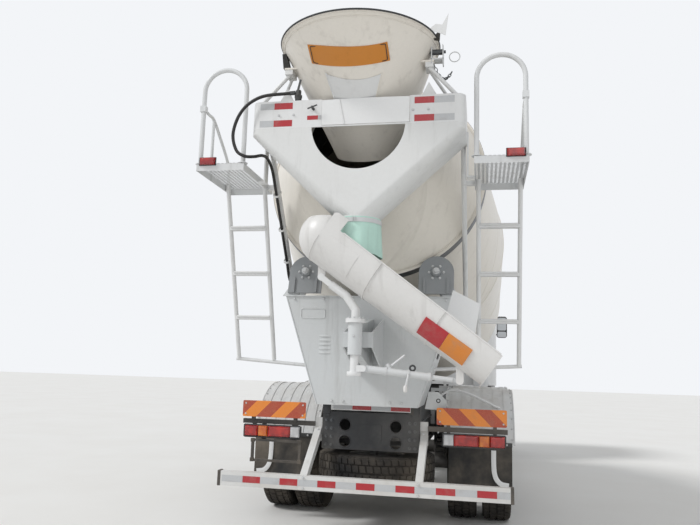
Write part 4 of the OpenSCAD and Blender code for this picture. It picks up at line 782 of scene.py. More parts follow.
def ring_of(radius, thick, centre, axis=(0, 1, 0), steps=32, sides=10):
    """A torus about an axis: a circle of the tube turned round at the ring's radius."""
    return moved(turned(circle(thick, sides) + [radius, 0], steps), centre, facing_turn(axis))


# %% [markdown]
# The drum is rolled from sheet: two cones and a barrel. Each joint is a weld bead, and the mixing
# blades inside show from outside as two faint spiral lines, where their welding has drawn the
# sheet in. The beads are turned rings. The spirals are drawn in the paint's bump, because their
# depth is less than a millimetre: the turn about the axis plus the way along it, cut to one line.

# %% Drum
TILT = math.radians(13)
DRUM_TURN = np.array([[1, 0, 0], [0, -math.sin(TILT), -math.cos(TILT)],
                      [0, math.cos(TILT), -math.sin(TILT)]]).T
DRUM_AT = at(0, 550, 3197)
SEAMS = [  # way along the axis from the roller track, radius
    (-0.060, 0.971), (0.062, 0.986), (1.500, 1.190), (2.450, 1.190), (3.400, 1.190), (4.620, 0.860), (4.900, 0.480)]
bead = np.stack([0.0035 * np.cos(np.linspace(0, 2 * np.pi, 8, endpoint=False)),
                 0.0080 * np.sin(np.linspace(0, 2 * np.pi, 8, endpoint=False))], -1)
beads = join([moved(turned(bead + [radius, along], 128), DRUM_AT, DRUM_TURN) for along, radius in SEAMS])
piece("drum_welds", beads, "drum", "drum_paint")
MOUTH_RINGS = [(0.522, -0.715), (0.508, -0.640), (0.560, -0.560)]  # radius, way along the axis
lips = join([moved(turned(circle(0.007, 8) + ring, 96), DRUM_AT, DRUM_TURN) for ring in MOUTH_RINGS])
piece("drum_mouth_rings", lips, "drum", "drum_paint", "portal_white")
track = [(0.9985, -0.046), (1.0008, -0.046), (1.0008, 0.046), (0.9985, 0.046)]
piece("drum_track_face", moved(turned(track, 160), DRUM_AT, DRUM_TURN), "drum", "drum_paint", "roller_steel")


def blade_lines(material, blades=2, pitch=1.9):
    """Two spirals in a finish: turn / 2 pi times the blades plus way / pitch, near a whole number."""
    tree = material.node_tree
    from_axis = add(tree, "VectorMath", {"operation": "SUBTRACT"}, i0=add(tree, "TexCoord").outputs["Object"],
                    i1=tuple(DRUM_AT)).outputs[0]
    parts = [add(tree, "VectorMath", {"operation": "DOT_PRODUCT"}, i0=from_axis,
                 i1=tuple(axis)).outputs["Value"]
             for axis in DRUM_TURN.T]
    turn = math_node(tree, "MULTIPLY", math_node(tree, "ARCTAN2", parts[0], parts[1]), blades / (2 * math.pi))
    phase = math_node(tree, "FRACT", math_node(tree, "ADD", turn, math_node(tree, "DIVIDE", parts[2], pitch)))
    near = math_node(tree, "ABSOLUTE", math_node(tree, "SUBTRACT", phase, 0.5))
    line = math_node(tree, "MULTIPLY", ramp(tree, near, 0.478, 0.499), 2.2)
    relief = next(node for node in tree.nodes if node.bl_idname == "ShaderNodeBump")
    height = relief.inputs["Height"].links[0].from_socket
    tree.links.new(math_node(tree, "SUBTRACT", height, line), relief.inputs["Height"])


blade_lines(MATERIALS["drum_paint"])

# %% [markdown]
# Inside the mouth the two mixing blades are sheets on edge that climb with the turn. Each one's
# outer edge follows the cone, and it stands inwards by the blade's depth. They start past the
# feed hopper's spout, which stays still while they turn.

# %% Mixing blades
BLADE_FROM, BLADE_OUT, BLADE_DEEP, BLADE_CLIMB, BLADE_T = -0.280, 0.790, 0.220, 0.75, 0.008
blade_at = DRUM_AT + DRUM_TURN @ [0, 0, BLADE_FROM]
share, spread = np.linspace(0, 1, 49)[:, None], np.linspace(0, 1, 6)[None]
for k in (0, 1):
    radius = BLADE_OUT + 0.200 * share - BLADE_DEEP * spread
    way = 0.020 + BLADE_CLIMB * share + 0.03 * spread
    turn = 2 * np.pi * share + k * np.pi
    blade = np.stack([radius * np.cos(turn), radius * np.sin(turn), way], -1) @ DRUM_TURN.T + blade_at
    thick = DRUM_TURN @ [0, 0, BLADE_T]
    piece(f"mixing_blade_{k}", slab(blade, blade + thick), "drum", "drum_paint", "drive_grey")

# %% [markdown]
# The feed hopper is a leaning funnel: straight lines run from its round rim to its round spout,
# which lies tilted. For each point of the rim the line goes to that point of the spout where both
# edges and the line lie in one plane, as a sheet would when rolled over the two rings.

# %% Feed hopper's skin
RIM_AT, RIM_R = at(0, -500, 3970), 0.620
SPOUT_AT, SPOUT_R, SPOUT_TILT = at(0, 0, 3260), 0.270, math.radians(31)


def on_rings(rim_turn, spout_turn):
    """Points and directions on the rim's and the spout's circle; cosine across, sine along the truck."""
    lean = np.array([math.cos(SPOUT_TILT), math.sin(SPOUT_TILT)])
    c, s, d, e = np.cos(rim_turn), np.sin(rim_turn), np.cos(spout_turn), np.sin(spout_turn)
    rim = RIM_AT + RIM_R * np.stack([c, s, 0 * s], -1)
    spout = SPOUT_AT + SPOUT_R * np.stack([d, e * lean[0], e * lean[1]], -1)
    return rim, np.stack([-s, c, 0 * s], -1), spout, np.stack([-e, d * lean[0], d * lean[1]], -1)


def on_cone(turn_deg, down, lift=0.0):
    """Points of the funnel at a turn of the rim and a share of the way down, moved out by lift."""
    rim_turn, down = np.radians(np.asarray(turn_deg, float)), np.asarray(down, float)
    guess = rim_turn[..., None] + np.linspace(-0.4, 0.4, 801)
    rim, along, spout, across = on_rings(rim_turn[..., None] + 0 * guess, guess)
    twist = np.abs(np.einsum("...i,...i", np.cross(along, across), rim - spout))
    best = np.take_along_axis(guess, np.argmin(twist, -1)[..., None], -1)[..., 0]
    rim, along, spout, _ = on_rings(rim_turn, best)
    outward = unit(np.cross(along, rim - spout))
    return rim + down[..., None] * (spout - rim) + lift * outward


def through(three, u):
    """The parabola that has the three values at u = 0, one half and 1."""
    return three[0] * (1 - u) * (1 - 2 * u) + three[1] * 4 * u * (1 - u) + three[2] * u * (2 * u - 1)


def cone_patch(top, low, lift, thick, n=24, m=8):
    """A plate on the funnel between a top and a lower edge, each given at its start, middle and end."""
    u, w = np.linspace(0, 1, n)[:, None], np.linspace(0, 1, m)[None]
    mixed = [through(top[k], u) * (1 - w) + through(low[k], u) * w for k in (0, 1)]
    return slab(on_cone(*mixed, lift + thick), on_cone(*mixed, lift))


# %% [markdown]
# On the hopper's back are the orange-brown panel, which is left bare inside its thin dark frame,
# and below it the lighter trapezoid where the throat begins. A dark rubber edging sits on the rim.

# %% Feed hopper's panel, throat plate and edging
MATERIALS["panel_ochre"] = finish("panel_ochre", "cf8326", 0.42, 0.35, 0.3, 0.002, worn=0.5, bare="7a4a22")
PANEL = (((-126.8, -90.5, -60.0), (0.147, 0.217, 0.175)), ((-129.2, -92.8, -55.8), (0.268, 0.338, 0.288)))
piece("hopper_panel", cone_patch(*PANEL, 0.001, 0.004), "root", "hopper_cream", "panel_ochre")
loop = rounded(0.94, 0.88, 0.05, 8) + 0.5
loop = np.concatenate([loop, loop[:1]])
edges = [through(PANEL[0][k], loop[:, 0]) * (1 - loop[:, 1]) + through(PANEL[1][k], loop[:, 0]) * loop[:, 1]
         for k in (0, 1)]
frame_path = on_cone(*edges, 0.0070)
piece("hopper_panel_frame", tube(frame_path, 0.0032, 6, (0.1, -1, 0.2)), "root", "hopper_cream", "trim_dark")
PLATE = (((-116.5, -88.8, -62.8), (0.365, 0.425, 0.380)), ((-114.2, -91.0, -72.0), (0.690, 0.700, 0.690)))
piece("throat_plate", cone_patch(*PLATE, 0.002, 0.005), "root", "hopper_cream", "portal_white")
down = np.linspace(0, 1, 16)
seam = on_cone(-116.8 + 2.4 * down, 0.355 + 0.34 * down, 0.008)
piece("throat_seam", tube(seam, 0.006, 8, (1, 0, 0)), "root", "hopper_cream", "portal_white")
seam = on_cone(-62.5 - 9.3 * down, 0.375 + 0.32 * down, 0.006)
piece("throat_seam_right", tube(seam, 0.004, 8, (1, 0, 0)), "root", "hopper_cream")
turn = np.radians(np.linspace(-224, 44, 120))
arc = RIM_AT + np.stack([0.631 * np.cos(turn), 0.631 * np.sin(turn), 0 * turn - 0.002], -1)
piece("rim_edging", tube(arc, 0.007, 8), "root", "hopper_cream", "trim_dark")
turn = np.radians(np.linspace(-220, 40, 90))
hoop_low = on_cone(np.degrees(turn), 0 * turn + 0.035, 0.002)
piece("rim_bead", tube(hoop_low, 0.004, 8), "root", "hopper_cream")

# %% [markdown]
# Beside the rim sit the fittings that carry it: on the right the hinge bracket with its wire ring
# and chain, and a folded flap plate, and on the left a rubber pad. They are bent plates, rods
# and links, so they are built from outlines, tubes and rings. The chain's links lie on a sagging
# curve, and every second one is turned by a quarter.

# %% Fittings beside the feed hopper
HINGE_Y, HINGE_DEEP = REAR - 0.600, 0.085
cheeks = join([flat_plate([(x, 3.775), (x + 0.008, 3.775), (x + 0.008, 3.915), (x, 3.930)], HINGE_Y,
                          HINGE_DEEP)
               for x in (0.572, 0.660)])
web = flat_plate([(0.572, 3.804), (0.668, 3.804), (0.668, 3.816), (0.572, 3.816)], HINGE_Y, HINGE_DEEP)
piece("hinge_bracket", join([cheeks, web]), "root", "portal_white", "jack_steel", bevel=0.002)
pin = tube([at(560, -560, 3880), at(684, -560, 3880)], 0.012, 14)
pad = tube([at(580, -560, 3880), at(660, -560, 3880)], 0.022, 18)
piece("hinge_pin", join([pin, pad]), "root", "portal_white", "roller_steel")
piece("pin_ring", ring_of(0.040, 0.004, at(752, -560, 3834)), "root", "portal_white", "jack_steel")
LINKS = 11
share = np.linspace(0, 1, LINKS)
drop = 0.070 * share + 0.300 * share * (1 - share)
sag = np.stack([0.598 + 0.128 * share, 0 * share + REAR - 0.565, 3.770 - drop], -1)
along = unit(np.gradient(sag, axis=0))
sides = unit(np.where(np.arange(LINKS)[:, None] % 2, np.cross(along, [0, 1, 0]), np.array([[0.0, 1.0, 0.0]])))
turns = np.stack([along, sides, np.cross(along, sides)], -1)
stadium = rounded(0.030, 0.018, 0.0088, 5)
line = np.roll(stadium, -1, 0) - np.roll(stadium, 1, 0)
outward = unit(np.c_[line[:, ::-1] * [1, -1], np.zeros(len(line))])
wire = circle(0.0032, 6)
link = np.c_[stadium, np.zeros(len(stadium))][:, None] + outward[:, None] * wire[None, :, :1]
link = (link + np.array([0, 0, 1]) * wire[None, :, 1:]).reshape(-1, 3)
chain = copies((link, list(map(tuple, grid(len(stadium), 6, True, True)))), sag, turns)
piece("hinge_chain", chain, "root", "portal_white", "roller_steel")
flap = [flat_plate([(0.560, 3.985), (0.664, 3.945), (0.664, 4.020), (0.615, 4.030)], REAR - 0.725, 0.004),
        flat_plate([(0.664, 3.945), (0.690, 3.930), (0.712, 4.108), (0.664, 4.020)], REAR - 0.727, 0.004)]
piece("flap_plate", join(flap), "root", "portal_white", bevel=0.001)
wedge = flat_plate([(0.585, 3.955), (0.640, 3.945), (0.646, 4.040)], REAR - 0.640, 0.030)
pad_outline = [(-0.610, 3.804), (-0.555, 3.804), (-0.590, 3.930), (-0.625, 3.930)]
left_pad = flat_plate(pad_outline, REAR - 0.590, 0.060)
piece("hinge_rubber", join([wedge, left_pad]), "root", "flap_rubber", bevel=0.003)
lug_bolts = [(x, y + REAR, 3.8045) for x in (-0.440, -0.480, 0.440, 0.480) for y in (-0.575, -0.485)]
bolts("lug_bolts", lug_bolts, (0, 0, 1), "root", size=0.026)
gusset = [(0.505, 3.512), (0.625, 3.512), (0.560, 3.625)]
gussets = join([flat_plate([(s * x, z) for x, z in gusset], REAR - 0.600, 0.010) for s in (1, -1)])
piece("beam_gussets", gussets, "root", "portal_white", bevel=0.002)
face_bolts = [(x, BEAM_Y, 3.392) for x in (-0.615, -0.495, 0.445, 0.562)]
bolts("beam_bolts", face_bolts, (0, -1, 0), "root", size=0.015)

# %% [markdown]
# The sleeve is a soft rubber tube clamped round the hopper's outlet. It hangs open, so its lower
# part is pushed in here and there into upright folds that grow towards the hem. Its radius is
# the collar's plus folds: sines of the turn with a share that rises on the way down.

# %% Rubber sleeve
SLEEVE_AT = at(15, -460, 2580)
SLEEVE_R, SLEEVE_T, AROUND, DOWN = 0.178, 0.005, 96, 26
turn = np.linspace(0, 2 * np.pi, AROUND, endpoint=False)[:, None]
way = np.linspace(0, 1, DOWN)[None]
crease = np.exp(-((turn - 5.55) / 0.10) ** 2)
fold = 0.007 * np.sin(5 * turn + 1.1) + 0.005 * np.sin(9 * turn + 0.4) - 0.007 * crease
outer = SLEEVE_R + 0.006 * way + fold * way ** 1.3
hem = -0.008 - 0.285 * way - 0.012 * way * np.sin(2 * turn + 0.8)
sleeve = [np.stack([r * np.cos(turn) + 0 * way, r * np.sin(turn) + 0 * way, hem], -1) + SLEEVE_AT
          for r in (outer, outer - SLEEVE_T)]
size = AROUND * DOWN
walls = [grid(AROUND, DOWN, True) + k * size for k in (0, 1)]
lines = np.arange(size).reshape(AROUND, DOWN).T[[0, -1]]
rims = [np.stack([line, np.roll(line, -1), np.roll(line, -1) + size, line + size], 1) for line in lines]
skin = np.concatenate([part.reshape(-1, 3) for part in sleeve]), list(map(tuple,
    np.concatenate(walls + rims)))
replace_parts(piece("sleeve_skin", skin, "root", "sleeve_green", smooth=50), "rubber_sleeve")
band = [(0.1795, -0.052), (0.1830, -0.052), (0.1830, -0.018), (0.1795, -0.018)]
piece("sleeve_band", moved(turned(band, 96), SLEEVE_AT), "root", "sleeve_green", "jack_steel")
ear = [flat_plate([(x, 2.530), (x + 0.004, 2.530), (x + 0.004, 2.566), (x, 2.566)], REAR - 0.656, 0.018)
       for x in (0.006, 0.022)]
piece("sleeve_clamp_ears", join(ear), "root", "sleeve_green", "jack_steel", bevel=0.001)
bolts("sleeve_clamp_bolt", [(0.026, REAR - 0.649, 2.550)], (1, 0, 0), "root", size=0.010)

# %% [markdown]
# The platforms are perforated sheet. Each hole is a real one: every cell of a grid is a square
# with a round opening, and the cells share their edges. A red lamp closes each outer corner.

# %% Perforated decks and their lamps


def perforated(low, high, cells, hole, z0, z1, sides=8):
    """Square cells with a round hole each, between two heights: outer corners and inner ring joined."""
    nx, ny = cells
    size = (np.array(high) - low) / [nx, ny]
    turn = (np.arange(sides) + 0.5) * 2 * np.pi / sides
    ray = np.stack([np.cos(turn), np.sin(turn)], -1)
    square = ray / np.abs(ray).max(1, keepdims=True) * size / 2
    ring = np.concatenate([square, ray * hole])
    cell = np.stack(np.meshgrid(np.arange(nx), np.arange(ny), indexing="ij"), -1).reshape(-1, 1, 2)
    flat = ring[None] + (cell + 0.5) * size + low
    layers = [np.concatenate([flat, np.full(flat.shape[:2] + (1,), z)], -1) for z in (z0, z1)]
    points = np.concatenate(layers, 1).reshape(-1, 3)
    k, m = np.arange(sides), (np.arange(sides) + 1) % sides
    quads = np.concatenate([np.stack([k, m, m + sides, k + sides], 1),
                            np.stack([k, k + sides, m + sides, m], 1) + 2 * sides,
                            np.stack([k + sides, m + sides, m + 3 * sides, k + 3 * sides], 1)])
    faces = (quads[None] + 4 * sides * np.arange(nx * ny)[:, None, None]).reshape(-1, 4)
    return points, faces


LAMP_OUT = 1.205
oval = join([moved(crowned(0.132, 0.060, 0.020), (s * LAMP_OUT, REAR - 0.596, 3.046)) for s in (-1, 1)])
piece("deck_lamps", oval, "root", "guard_white", "lens_red")
backs = block([(s * LAMP_OUT - 0.072, REAR - 0.597, 3.012) for s in (-1, 1)],
              [(s * LAMP_OUT + 0.072, REAR - 0.586, 3.080) for s in (-1, 1)])
piece("deck_lamp_backs", backs, "root", "guard_white", "trim_dark", bevel=0.003)

# %% [markdown]
# Each rung is a folded channel with a rolled lip at both edges, so that a boot finds it. The
# lips are thin tubes along the CAD rung, and pressed dimples run along its top.

# %% Ladder rungs
LADDER_TOP, LADDER_LOW = np.array([0, 50, 2970.0]), np.array([0, 560, 1500.0])
steps = 1 - 0.218 - 0.265 * np.arange(3)
rung = (LADDER_LOW + steps[:, None] * (LADDER_TOP - LADDER_LOW)) / 1000 + [0, REAR, 0]
lips = [tube([(side * 0.945, y + dy, z + 0.013), (side * 1.255, y + dy, z + 0.013)], 0.010, 10)
        for side in (-1, 1) for _, y, z in rung for dy in (-0.032, 0.032)]
piece("rung_lips", join(lips), "root", "guard_white", "portal_white")
dimple = turned([(0, 0.004), (0.004, 0.0035), (0.007, 0), (0, 0)], 10, False)
spots = [(side * x, y + dy, z + 0.0135) for side in (-1, 1) for _, y, z in rung
         for x in np.linspace(0.965, 1.235, 10) for dy in (-0.012, 0.012)]
piece("rung_dimples", copies(dimple, spots), "root", "guard_white", "portal_white")

# %% [markdown]
# On the chute are the two-coloured reflective panel, bent round its side, the flat extension
# plate that stands over the far edge, a rolled bead along both edges, and a smooth patch where
# the pivot's strap is welded on. All lie in the chute's own directions: along, across and up.

# %% Chute
SLOPE = math.radians(35)
c, s = math.cos(SLOPE), math.sin(SLOPE)
CHUTE_TURN = np.array([[c, 0, -s], [0, 1, 0], [s, 0, c]]).T
CHUTE_AT = at(15, -460, 2010)
CHUTE_IN, CHUTE_R = 0.205, 0.211


def on_chute(along, side, high):
    """A point from its place along, across and above the bottom line of the chute."""
    local = np.stack(np.broadcast_arrays(*map(np.asarray, (along, side, high))), -1).astype(float)
    return local @ CHUTE_TURN.T + CHUTE_AT


def chute_skin(s0, s1, low_deg, high_deg, lift, thick, near=-1, n=12, m=12):
    """A plate bent round the chute's side: side is the radius times cosine, height times sine."""
    s = np.linspace(s0, s1, n)[:, None]
    t = np.radians(np.linspace(low_deg, high_deg, m))[None]
    layers = [on_chute(s + 0 * t, near * r * np.cos(t) + 0 * s, CHUTE_IN + r * np.sin(t) + 0 * s)
              for r in (CHUTE_R + lift + thick, CHUTE_R + lift)]
    return slab(*layers)


for color, s0, s1 in (("red", 0.562, 0.760), ("amber", 0.762, 0.962)):
    panel = chute_skin(s0, s1, -54, -12, 0.0005, 0.0095)
    piece(f"chute_panel_{color}", panel, "main_chute", "chute_white", f"tape_{color}")
patches = join([chute_skin(-0.34, -0.10, -50, 8, 0.0005, 0.0020, near) for near in (-1, 1)])
piece("chute_patch", patches, "main_chute", "chute_white")
corner = np.array([(0.5615, 0.457), (0.791, 0.488), (0.897, 0.272), (0.630, 0.268)])
plate = [on_chute(corner[[0, 1, 3, 2], 0].reshape(2, 2), side, corner[[0, 1, 3, 2], 1].reshape(2, 2))
         for side in (0.212, 0.217)]
piece("chute_extension", slab(*plate), "main_chute", "chute_white", "cab_white", bevel=0.0015)
rim_s = np.linspace(-0.300, 1.135, 40)
rim_up = CHUTE_IN + 0.100 - (rim_s + 0.330) * math.tan(math.radians(2.2))
edge_tubes = [tube(on_chute(rim_s, side * 0.2085, rim_up + 0.001), 0.0075, 8, (0, 1, 0)) for side in (-1, 1)]
piece("chute_edge_beads", join(edge_tubes), "main_chute", "chute_white")
turn, weld_r = np.radians(np.linspace(-176, -4, 60)), CHUTE_R + 0.001
weld = on_chute(-0.450, weld_r * np.cos(turn), CHUTE_IN + weld_r * np.sin(turn))
weld = tube(weld, 0.0035, 6, tuple(CHUTE_TURN[:, 0]))
piece("chute_welds", weld, "main_chute", "chute_white")
hinge_pads = [chute_skin(s - 0.025, s + 0.025, -6, 14, 0.0005, 0.006, 1) for s in (0.66, 0.84)]
piece("extension_hinges", join(hinge_pads), "main_chute", "chute_white", "jack_steel")

# %% [markdown]
# The yoke's post has a clamping flange under its bend, held by small bolts, and a set screw.
# The screw jack is turned by a crank: a hub on the tube, an arm, and a round knob at its end.

# %% Post flange and jack crank
POST = at(15, -460, 0)
spin = np.linspace(0, 2 * np.pi, 8, endpoint=False)
ring_bolts = np.stack([0.058 * np.cos(spin), 0.058 * np.sin(spin), 0 * spin + 1.811], -1) + POST
bolts("post_flange_bolts", ring_bolts, (0, 0, 1), "chute_yoke", "portal_white", 0.018, "jack_steel")
COLLAR = [(0.0325, 1.384), (0.052, 1.384), (0.055, 1.390), (0.055, 1.410), (0.052, 1.416), (0.0325, 1.416)]
piece("post_collar", moved(turned(COLLAR, 40), POST), "chute_yoke", "portal_white")
bolts("post_set_screw", [POST + [0, -0.055, 1.68]], (0, -1, 0), "root", size=0.016)
jack_way = unit(np.array([0.715, 0, -0.068]))
JACK_AT = at(85, -460, 1440)
grips = [tube([JACK_AT + jack_way * s, JACK_AT + jack_way * (s + 0.022)], 0.033, 24, (0, 1, 0))
         for s in (0.160, 0.330, 0.486)]
piece("jack_rings", join(grips), "jack_tube", "jack_steel")
hub = JACK_AT + jack_way * 0.341
CRANK = np.array([(0, -0.030, 0), (0.004, -0.052, -0.010), (-0.006, -0.060, -0.060),
                  (-0.014, -0.066, -0.100)])
crank = tube(smooth_path(hub + CRANK, 6), 0.008, 10, (1, 0, 0))
piece("jack_crank", crank, "jack_tube", "jack_steel")
KNOB = [(0, -0.026), (0.011, -0.024), (0.015, -0.010), (0.015, 0.012), (0.010, 0.024), (0, 0.026)]
knob = moved(turned(KNOB, 20, False), hub + [-0.014, -0.066, -0.105])
piece("jack_knob", knob, "jack_tube", "jack_steel", "chute_white")
eye = ring_of(0.019, 0.007, hub + [0.030, -0.004, 0.046], (0, 1, 0), 28, 10)
piece("jack_knob_hole", eye, "jack_tube", "jack_steel", "trim_dark")
FORK = [((396, -470, 1545), (300, -470, 1468), 0.009), ((396, -450, 1545), (300, -450, 1468), 0.009),
        ((262, -460, 1478), (300, -460, 1430), 0.014)]  # the two ends and the radius of each rod
fork = join([tube([at(*start), at(*end)], radius, 10, (0, 1, 0)) for start, end, radius in FORK])
piece("jack_fork", fork, "jack_tube", "jack_steel")

# %% [markdown]
# The platforms are rebuilt as what they are: a perforated sheet with real holes, so that the sky
# shows through, on an edge frame bent down all round, with the hoop handrail and the side rail.

# %% Platforms
HOOP_R, HOOP_Y, HOOP_TOP, DECK_Z = 0.019, REAR - 0.560, 3.830, 3.030
half = 0.200 - HOOP_R
swing = np.linspace(0, np.pi, 33)
bow = np.stack([1.100 + half * np.cos(swing), 0 * swing + HOOP_Y, HOOP_TOP - half + half * np.sin(swing)], -1)
hoop = np.concatenate([[[1.100 + half, HOOP_Y, DECK_Z - 0.004]], bow,
                       [[1.100 - half, HOOP_Y, DECK_Z - 0.004]]])
RAIL_LINE = [(-560, 3500), (-450, 3497), (-345, 3490), (-190, 3388), (-30, 3270), (40, 3190), (70, 3040)]
rail = smooth_path([at(1281, y, z) for y, z in RAIL_LINE], 6)
EDGES = [  # low and high corner of each strip of the deck's edge, and of the rail's two feet
    ((900, -590, 2970), (1300, -586, 3026.5)), ((900, 176, 2970), (1300, 180, 3026.5)),
    ((900, -586, 2970), (904, 176, 3026.5)), ((1296, -586, 2970), (1300, 176, 3026.5))]
FEET = [((1257, -584, 3475), (1305, -536, 3525)), ((1262, 46, 3028), (1300, 94, 3052))]
rims, feet = (block([at(*low) for low, _ in table], [at(*high) for _, high in table])
              for table in (EDGES, FEET))
FLANGE = [(0.0, 0), (0.038, 0), (0.038, 0.006), (0.024, 0.012), (0.0, 0.012)]
flanges = [moved(turned(FLANGE, 24, False), (x, HOOP_Y, DECK_Z)) for x in (0.919, 1.281)]
upright = tube([at(1281, -345, 3028), at(1281, -345, 3488)], 0.013, 12, (1, 0, 0))
right = join([tube(hoop, HOOP_R, 16, (0, 1, 0)), tube(rail, 0.013, 12, (1, 0, 0)), feet, *flanges, upright,
              rims])
frames = piece("platform_frames", join([right, mirrored(right)]), "root", "guard_white")
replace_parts(frames, "platforms")
HOLES = (12, 22)
for side, label in ((-1, "left"), (1, "right")):
    x0, x1 = sorted((side * 0.902, side * 1.298))
    sheet = perforated((x0, REAR - 0.588), (x1, REAR + 0.178), HOLES, 0.0125, 3.0265, DECK_Z)
    piece(f"deck_{label}", sheet, "root", "guard_white", smooth=20)
print("deck holes:", 2 * HOLES[0] * HOLES[1])

# %% [markdown]
# Round-topped brackets of thick plate stand behind the support rollers and carry their shafts. A
# boss with a six-sided nut closes each. They lean with the drum, like the roller between them.

# %% Roller brackets
swing = np.linspace(0, np.pi, 25)
arch = np.concatenate([np.stack([0.150 * np.cos(swing), -0.150 * np.sin(swing)], -1),
                       [[-0.150, 0.196], [0.150, 0.196]]])
boss = turned([(0, -0.118), (0.034, -0.118), (0.040, -0.112), (0.046, -0.084), (0, -0.084)], 32, False)
cover = prism(arch, -0.086, -0.069)
RIB = np.array([(-0.012, 0.05), (0.012, 0.05), (0.012, 0.194), (-0.012, 0.194)])
stiff = join([prism(RIB + [dx, 0], -0.100, -0.084) for dx in (-0.10, 0.10)])
backwards = tuple(-DRUM_TURN[:, 2])
a = np.arange(6) * np.pi / 3
bolt_ring = np.stack([0.062 * np.cos(a), 0.062 * np.sin(a), 0 * a - 0.087], -1) @ DRUM_TURN.T
for side, label in ((-1, "left"), (1, "right")):
    centre = at(side * 574.5, 332.3, 2254.2)
    bracket = moved(join([cover, boss, stiff]), centre, DRUM_TURN)
    piece(f"roller_bracket_{label}", bracket, "root", "body_grey", "bumper_grey", bevel=0.002)
    bolts(f"roller_bolts_{label}", centre + bolt_ring, backwards, "root", "body_grey", 0.018, "jack_steel")
    nut_at = [centre + DRUM_TURN @ [0, 0, -0.117]]
    bolts(f"roller_nut_{label}", nut_at, backwards, "root", "body_grey", 0.046, "jack_steel")

# %% [markdown]
# The pedestal's rear plate has pressed louvres, a pressed frame round a bare panel and a row of
# bolts along its foot. Pressed shapes stand proud of the sheet by a few millimetres.

# %% Pedestal's rear plate
MATERIALS["pedestal_grey"] = finish("pedestal_grey", "cfd2d3", 0.42, 0.4, 0.45, 0.005, worn=0.35)
NODES["rear_pedestal"].data.materials[0] = MATERIALS["pedestal_grey"]
PED_Y = REAR + 0.220
slats = []
u, v = np.linspace(-1, 1, 9)[:, None], np.linspace(0, 1, 6)[None]
proud = 0.006 * (1 - u ** 4) * np.sin(np.pi * v ** 0.6) + 0.0004
for z in np.arange(5) * 0.036 + 1.556:
    bulge = np.stack([-0.375 + 0.052 * u + 0 * v, PED_Y - proud, z + 0.022 * v + 0 * u], -1)
    slats.append(slab(bulge, bulge * [1, 0, 1] + [0, PED_Y + 0.002, 0]))
piece("pedestal_louvres", join(slats), "root", "body_grey", "pedestal_grey")
frame_line = rounded(0.215, 0.085, 0.018, 5)
frame_line = np.concatenate([frame_line, frame_line[:2]])
path = np.c_[frame_line[:, 0] - 0.490, np.full(len(frame_line), PED_Y), frame_line[:, 1] + 1.905]
piece("pedestal_frame", tube(path, 0.0055, 8, (0, 1, 0)), "root", "body_grey", "pedestal_grey")
BOLT_ROWS = [(1.165, (-0.30, -0.20, 0.20, 0.30)),
             (2.030, (-0.66, -0.40, 0.40, 0.66))]  # height, places across
foot_bolts = [(x, PED_Y, z) for z, row in BOLT_ROWS for x in row]
bolts("pedestal_bolts", foot_bolts, (0, -1, 0), "root", "body_grey", 0.020, "jack_steel")
side_edge = [tube([(s * 0.4325, PED_Y, 1.135), (s * 0.738, PED_Y, 2.056)], 0.006, 8, (0, 1, 0))
             for s in (-1, 1)]
piece("pedestal_edges", join(side_edge), "root", "body_grey", "pedestal_grey")
top_fold = block((-0.738, PED_Y - 0.014, 2.052), (0.738, PED_Y + 0.004, 2.0605))
piece("pedestal_fold", top_fold, "root", "body_grey", "pedestal_grey", bevel=0.003)
BRACKET, BRACKET_Y = [(0.470, 1.110), (0.655, 1.104), (0.655, 1.190), (0.585, 1.260),
                      (0.500, 1.260)], REAR + 0.500
piece("side_bracket", flat_plate(BRACKET, BRACKET_Y, 0.006), "root", "body_grey", "pedestal_grey",
      bevel=0.002)
piece("side_bracket_eye", ring_of(0.015, 0.004, (0.586, BRACKET_Y, 1.185)), "root", "body_grey", "trim_dark")

# %% [markdown]
# Across the beam's middle runs the smooth throat sheet, with its weld seam, a short red strip
# and a small cock. The water tap beside it has a ball valve with a flat lever.

# %% Throat sheet, cock and tap
u, v = np.linspace(0, 1, 20)[:, None], np.linspace(0, 1, 8)[None]
bow = 0.010 * np.sin(np.pi * u) * v
sheet = np.stack([-0.268 + 0.686 * u + 0 * v, BEAM_Y - 0.004 - bow, 3.2985 + 0.2035 * v + 0 * u], -1)
piece("throat_sheet", slab(sheet, sheet + [0, 0.004, 0]), "root", "hopper_cream", "cab_white")
seam = tube([(-0.128, BEAM_Y - 0.013, 3.500), (-0.085, BEAM_Y - 0.006, 3.300)], 0.0045, 8, (1, 0, 0))
piece("throat_sheet_seam", seam, "root", "hopper_cream", "portal_white")
strips("beam_red_short", [-0.384], [-0.297], BEAM_Y, 3.346, 3.380, "tape_red")
strips("beam_silver_short", [-0.296], [-0.272], BEAM_Y, 3.346, 3.380, "tape_silver")
cock = join([tube([(-0.335, BEAM_Y, 3.432), (-0.335, BEAM_Y - 0.050, 3.432)], 0.011, 12, (0, 0, 1)),
             tube([(-0.372, BEAM_Y - 0.046, 3.420), (-0.296, BEAM_Y - 0.046, 3.448)], 0.006, 8)])
piece("drain_cock", cock, "root", "portal_white", "drive_grey")
TAP_X, TAP_Y = -0.470, REAR - 0.605
VALVE = [(0, -0.004), (0.021, -0.004), (0.026, 0.004), (0.026, 0.020), (0.030, 0.028), (0.030, 0.046),
         (0.022, 0.054), (0.022, 0.086), (0, 0.090)]
LEVER = [(-0.010, 3.548), (0.010, 3.546), (0.034, 3.672), (0.018, 3.677)]
valve = moved(turned(VALVE, 24, False), (TAP_X, TAP_Y, 3.515))
lever = join([tube([(TAP_X, TAP_Y - 0.020, 3.555), (TAP_X, TAP_Y - 0.044, 3.555)], 0.007, 10, (0, 0, 1)),
              flat_plate([(TAP_X + x, z) for x, z in LEVER], TAP_Y - 0.046, 0.004)])
piece("tap_valve", join([valve, lever]), "root", "portal_white", "drive_grey")

